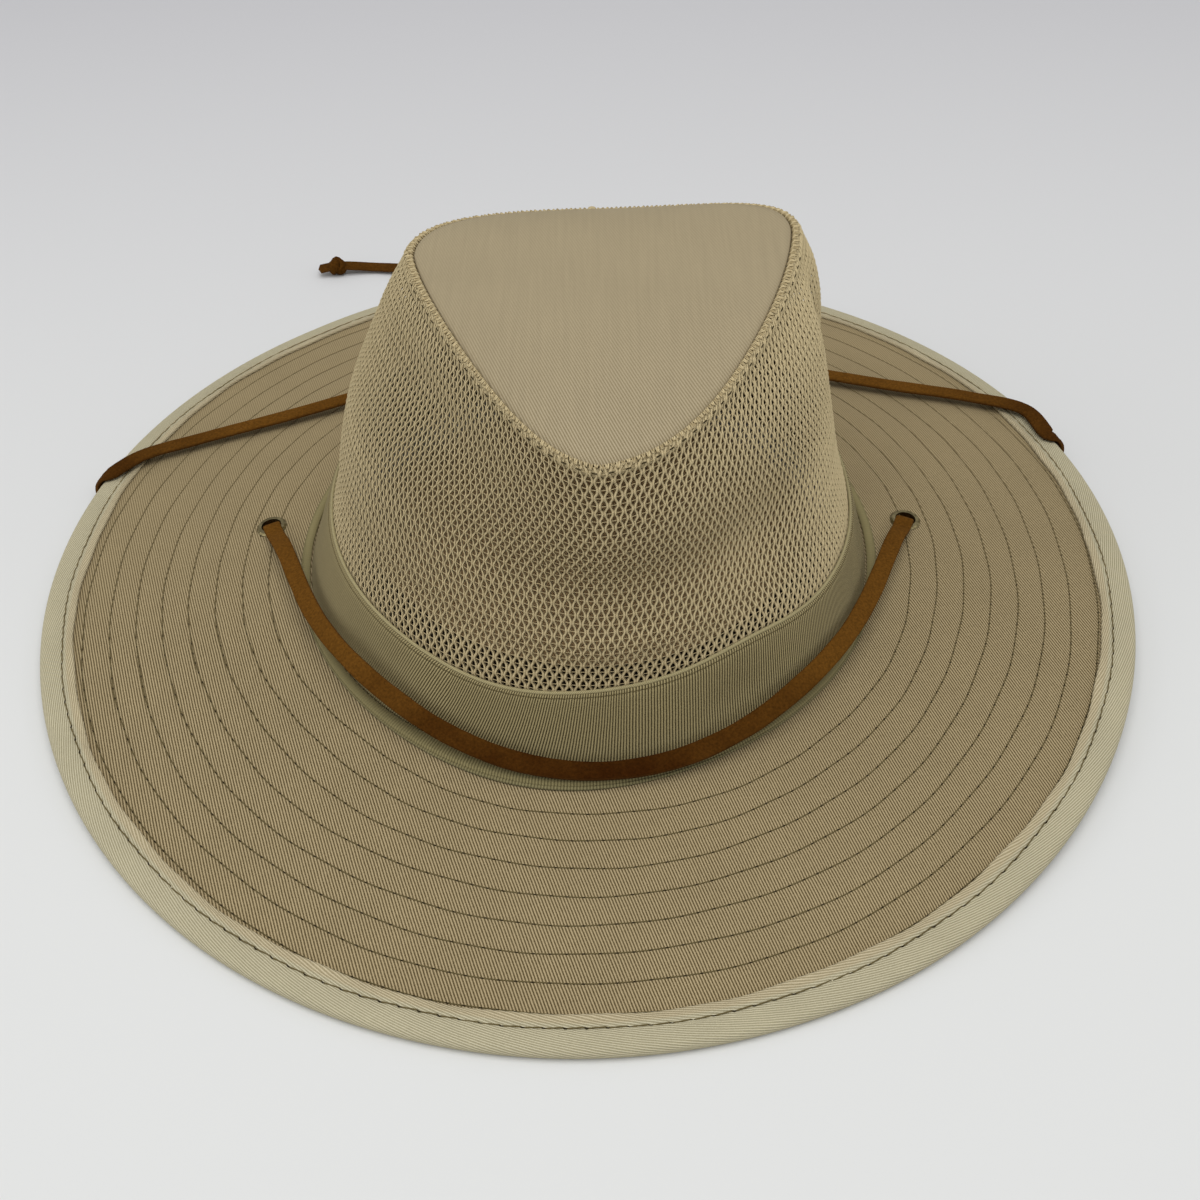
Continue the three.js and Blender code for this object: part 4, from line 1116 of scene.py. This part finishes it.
def add_net():
    """Wavy strands that meet their neighbours in turn. The fine threads across the openings are added by
    add_net_threads.
    """
    lines, side, face, inside = net_strand_lines()
    count, steps = lines.shape[:2]
    row = np.arange(steps) / ROW_SEGMENTS
    parity = np.where(np.arange(count) % 2, -1, 1)[:, None]
    sway = cornered(np.cos(np.pi * row)[None] * parity, 0.5)
    hem = np.clip((row - (NET_ROWS - 2.5)) / 1.5, 0, 1)[None]
    rough = 0.04 * random.standard_normal((count, steps))
    strands = lines + side * (STRAND_SWAY * PITCH * sway * (1 - 0.6 * hem) + rough)[..., None]
    rise = 0.16 * np.cos(TURN * row)[None] - STRAND_HEIGHT / 2 + rough
    strands = strands + face * rise[..., None]
    low = np.clip((10 - row) / 3, 0, 1)[None]
    width = STRAND_WIDTH * (1 + 0.1 * np.cos(TURN * row)[None] + 0.35 * hem + 0.18 * low + rough)
    height = np.full(width.shape, STRAND_HEIGHT)
    pieces = []
    for name, chosen in zip(("left", "front", "right"), np.array_split(np.arange(count), 3)):
        points, faces = tubes(strands[chosen], face[chosen], width[chosen], height[chosen],
                              sides=3, turn=0.75, keep=inside[chosen])
        v = np.tile(row[:, None], (len(chosen), 3)).ravel()[faces.ravel()]
        uv = np.stack([faces.ravel() % 3 * 0.3, v], 1)
        pieces.append(add_mesh("net_strands_" + name, points, faces, net_yarn, uv))
    return pieces, strands, face, inside


def add_net_threads(strands, face, inside):
    """Fine threads across the openings."""
    paths, normals = [], []
    for row in range(1, NET_ROWS - 1):
        k = np.arange(row % 2 == 0, len(strands) - 1, 2)
        at = row * ROW_SEGMENTS
        k = k[inside[k, at] & inside[k + 1, at]]
        lift = face[k, at] * 0.15
        paths.append(np.stack([strands[k, at] - lift, strands[k + 1, at] - lift], 1))
        normals.append(np.stack([face[k, at], face[k + 1, at]], 1))
    paths, normals = np.concatenate(paths), np.concatenate(normals)
    size = np.full(paths.shape[:2], 0.3)
    points, faces = tubes(paths, normals, size, size, 3)
    return add_mesh("net_threads", points, faces, net_yarn, np.zeros((len(faces) * 4, 2)))


def add_back_seam():
    """The ridge where the net's two ends are sewn together behind the crown."""
    line = net_wall(120)[0]
    path = line + np.array([0, 0.15, 0])
    at = np.arange(len(path))
    size = (BACK_SEAM + 0.25 * np.sin(at * 2.1))[None]
    points, faces = tubes(path[None], np.tile([0, 1.0, 0.3], (1, len(path), 1)), size, size * 0.5, 8)
    return add_mesh("net_back_seam", points, faces, net_yarn, np.zeros((len(faces) * 4, 2)))


def add_seam_loops():
    """Small loops of bright yarn that bind the net's edge to the panel."""
    bearing, _ = even_bearings(SEAM_LOOPS * LOOP_STEPS, seam_point)
    at = np.arange(len(bearing)) / LOOP_STEPS
    swing = np.sin(TURN * at)
    size = np.clip(1 + 0.25 * np.sin(at * 2.3) + 0.1 * random.standard_normal(len(at)), 0.6, 1.4)
    path = seam_place(bearing, 112 + 46 * swing * size, SEAM_ROLL / 2 + 0.05 + 0.12 * np.cos(2 * TURN * at))
    out = unit(path - roll_point(bearing))
    thick = np.full((1, len(path)), 0.55)
    points, faces = tubes(path[None], out[None], thick, thick * 0.8, 4)
    return add_mesh("seam_loops", points, faces, net_yarn, stitch_uv(faces, 4, at))


def add_seam_stitches():
    """Short dark stitches under the rolled edge of the net, at the front."""
    bearing, _ = even_bearings(SEAM_STITCHES, seam_point)
    bearing = bearing[np.sin(bearing) < -0.25]
    turns = bearing[:, None] + np.array([-0.45, 0, 0.45]) * np.gradient(bearing)[:, None] * 0.36
    paths = seam_place(turns, np.full(turns.shape, 34.0), SEAM_ROLL / 2 + 0.05)
    out = unit(paths - roll_point(turns))
    size = np.full(paths.shape[:2], 0.4)
    points, faces = tubes(paths, out, size, size, 4)
    return add_mesh("seam_stitches", points, faces, seam_thread, np.full((len(faces) * 4, 2), 0.5))


def add_inner_band():
    """A dark cloth band inside the crown, whose top shows through the lowest rows of the net."""
    bearing, run = crown_bearings(480)
    outer = [outward(band_inside(bearing, z), bearing, -1.0) for z in np.linspace(BAND_FOOT, BAND_TOP, 8)]
    level = lerp(INNER_SIDE, INNER_FRONT, bump(np.degrees(bearing), *INNER_LOW))
    outer += [outward(net_point(bearing, level * share), bearing, -1.2) for share in (0.35, 0.7, 1)]
    crest = outward(net_point(bearing, level), bearing, -1.7, 0.4)
    inner = [outward(p, bearing, -1.0) for p in reversed(outer)]
    rings = np.stack([*outer, crest, *inner], 1)
    across = np.linspace(0, 68, rings.shape[1])
    return add_grid("inner_band", rings, inner_twill, wrap_columns=False, step=(run, across))


def add_net_foot():
    """The net's plain hem behind the band."""
    bearing, run = crown_bearings(480)
    outer = [band_inside(bearing, z) for z in np.linspace(BAND_FOOT, NET_START + 1.5, 8)]
    inner = [outward(p, bearing, -0.7) for p in reversed(outer)]
    rings = np.stack([*outer, *inner], 1)
    across = np.linspace(0, 45, rings.shape[1])
    return add_grid("net_hem", rings, net_yarn, wrap_columns=False, step=(run, across))


def add_roll():
    """The lumpy filling of the net's rolled edge."""
    bearing, run = crown_bearings(900)
    lumps = 1 + 0.06 * np.sin(run[:-1] * 2.9) + 0.05 * np.sin(run[:-1] * 1.31)
    rings = round_rings(roll_point(bearing), bearing, (SEAM_ROLL / 2 - 0.6) * lumps, 12)
    return add_grid("seam_roll", rings, net_yarn, step=(1, 0.5))


(net_left, net_front, net_right), *net_run = add_net()
attach(net_left)
attach(net_front, "crown_mesh")
attach(net_right)
attach(add_net_threads(*net_run))
for add_piece in (add_back_seam, add_seam_loops, add_seam_stitches, add_net_foot, add_inner_band, add_roll):
    attach(add_piece())


# Top panel

PANEL_EDGE, PANEL_TURN = 0.7, -1.1


def add_panel():
    """The top panel, its edge turned down, closed below."""
    bearing = full_turn(600) - np.pi
    shares = np.concatenate([[0.0004, 0.001, 0.003, 0.01], np.linspace(0.04, 1, 26)])
    top = [panel_point(bearing, share) for share in shares]
    turned = outward(top[-1], bearing, PANEL_EDGE, PANEL_TURN)
    below = [panel_point(bearing, share) - UP * PANEL_WALL for share in (*shares[:3:-4], *shares[1::-1])]
    rings = np.stack([*top, turned, *below], 1)
    return add_grid("top_panel", rings, top_twill, flip=True)


attach(add_panel(), "crown_top")


# Eyelets


def brass():
    shader = Shader("aged brass", roughness=0.36, metallic=1.0)
    vector = shader.place()
    tarnish = shader.noise(vector, 1.6, 3.0)
    colour = shader.mix(shader.remap(tarnish, 0.35, 0.7), linear(160, 147, 108), linear(104, 93, 64))
    shader.colour(colour)
    shader.relief((tarnish, 0.05))
    return shader.material


eyelet_brass = brass()
for name in EYELETS:
    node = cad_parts[name]
    node.data.materials.clear()
    node.data.materials.append(eyelet_brass)


# Floor and light

FLOOR_SIZE = 2500
# Each lamp's name, place and aim in metres, size in metres and power
LAMPS = [
    ("overhead", (0.02, -0.28, 1.42), (0, 0, 0), 1.4, 12.5),
    ("window", (-1.3, -0.3, 0.6), (0, 0, 0.05), 1.0, 3.4),
    ("far window", (1.3, -0.1, 0.6), (0, 0, 0.05), 1.0, 1.5),
]
ROOM_LIGHT = 0.46


def add_floor():
    """A pale floor, painted darker toward the back as shade where the light falls off. Inside the crown it is
    painted with the warm light that comes through the net.
    """
    shader = Shader("pale floor", roughness=0.9)
    parts = shader.parts(shader.place())
    # Painted shade: the floor darkens toward the back, where the light falls off.
    pale = shader.mix(shader.remap(parts["Y"], -60, 760), linear(225, 226, 225), linear(198, 197, 202))
    # Painted light: a warm patch inside the crown's foot, for the light that comes through the net.
    across = shader.math("POWER", shader.math("DIVIDE", parts["X"], FOOT_WIDTH / 2), 2.0)
    along = shader.math("POWER", shader.math("DIVIDE", parts["Y"], FOOT_LENGTH / 2), 2.0)
    inside = shader.remap(shader.math("ADD", across, along), 0.95, 0.8)
    shader.colour(shader.mix(inside, pale, linear(214, 180, 130)))
    corners = [(x * FLOOR_SIZE, y * FLOOR_SIZE, 0) for x, y in ((-1, -1), (1, -1), (1, 1), (-1, 1))]
    return add_mesh("floor", corners, [(0, 1, 2, 3)], shader.material)


add_floor()


def add_lamp(name, at, target, size, power):
    data = bpy.data.lights.new(name, "AREA")
    data.energy, data.size = power, size
    back = unit(np.array(at, float) - np.array(target, float))
    x = unit(np.cross((0, 1, 0), back))
    aim(bpy.data.objects.new(name, data), x, np.cross(back, x), back, at)


for lamp in LAMPS:
    add_lamp(*lamp)

world = bpy.data.worlds.new("studio")
bpy.context.scene.world = world
world.use_nodes = True
background = world.node_tree.nodes["Background"].inputs
background["Color"].default_value = (1, 1, 1, 1)
background["Strength"].default_value = ROOM_LIGHT
bpy.context.scene.view_settings.view_transform = "Standard"
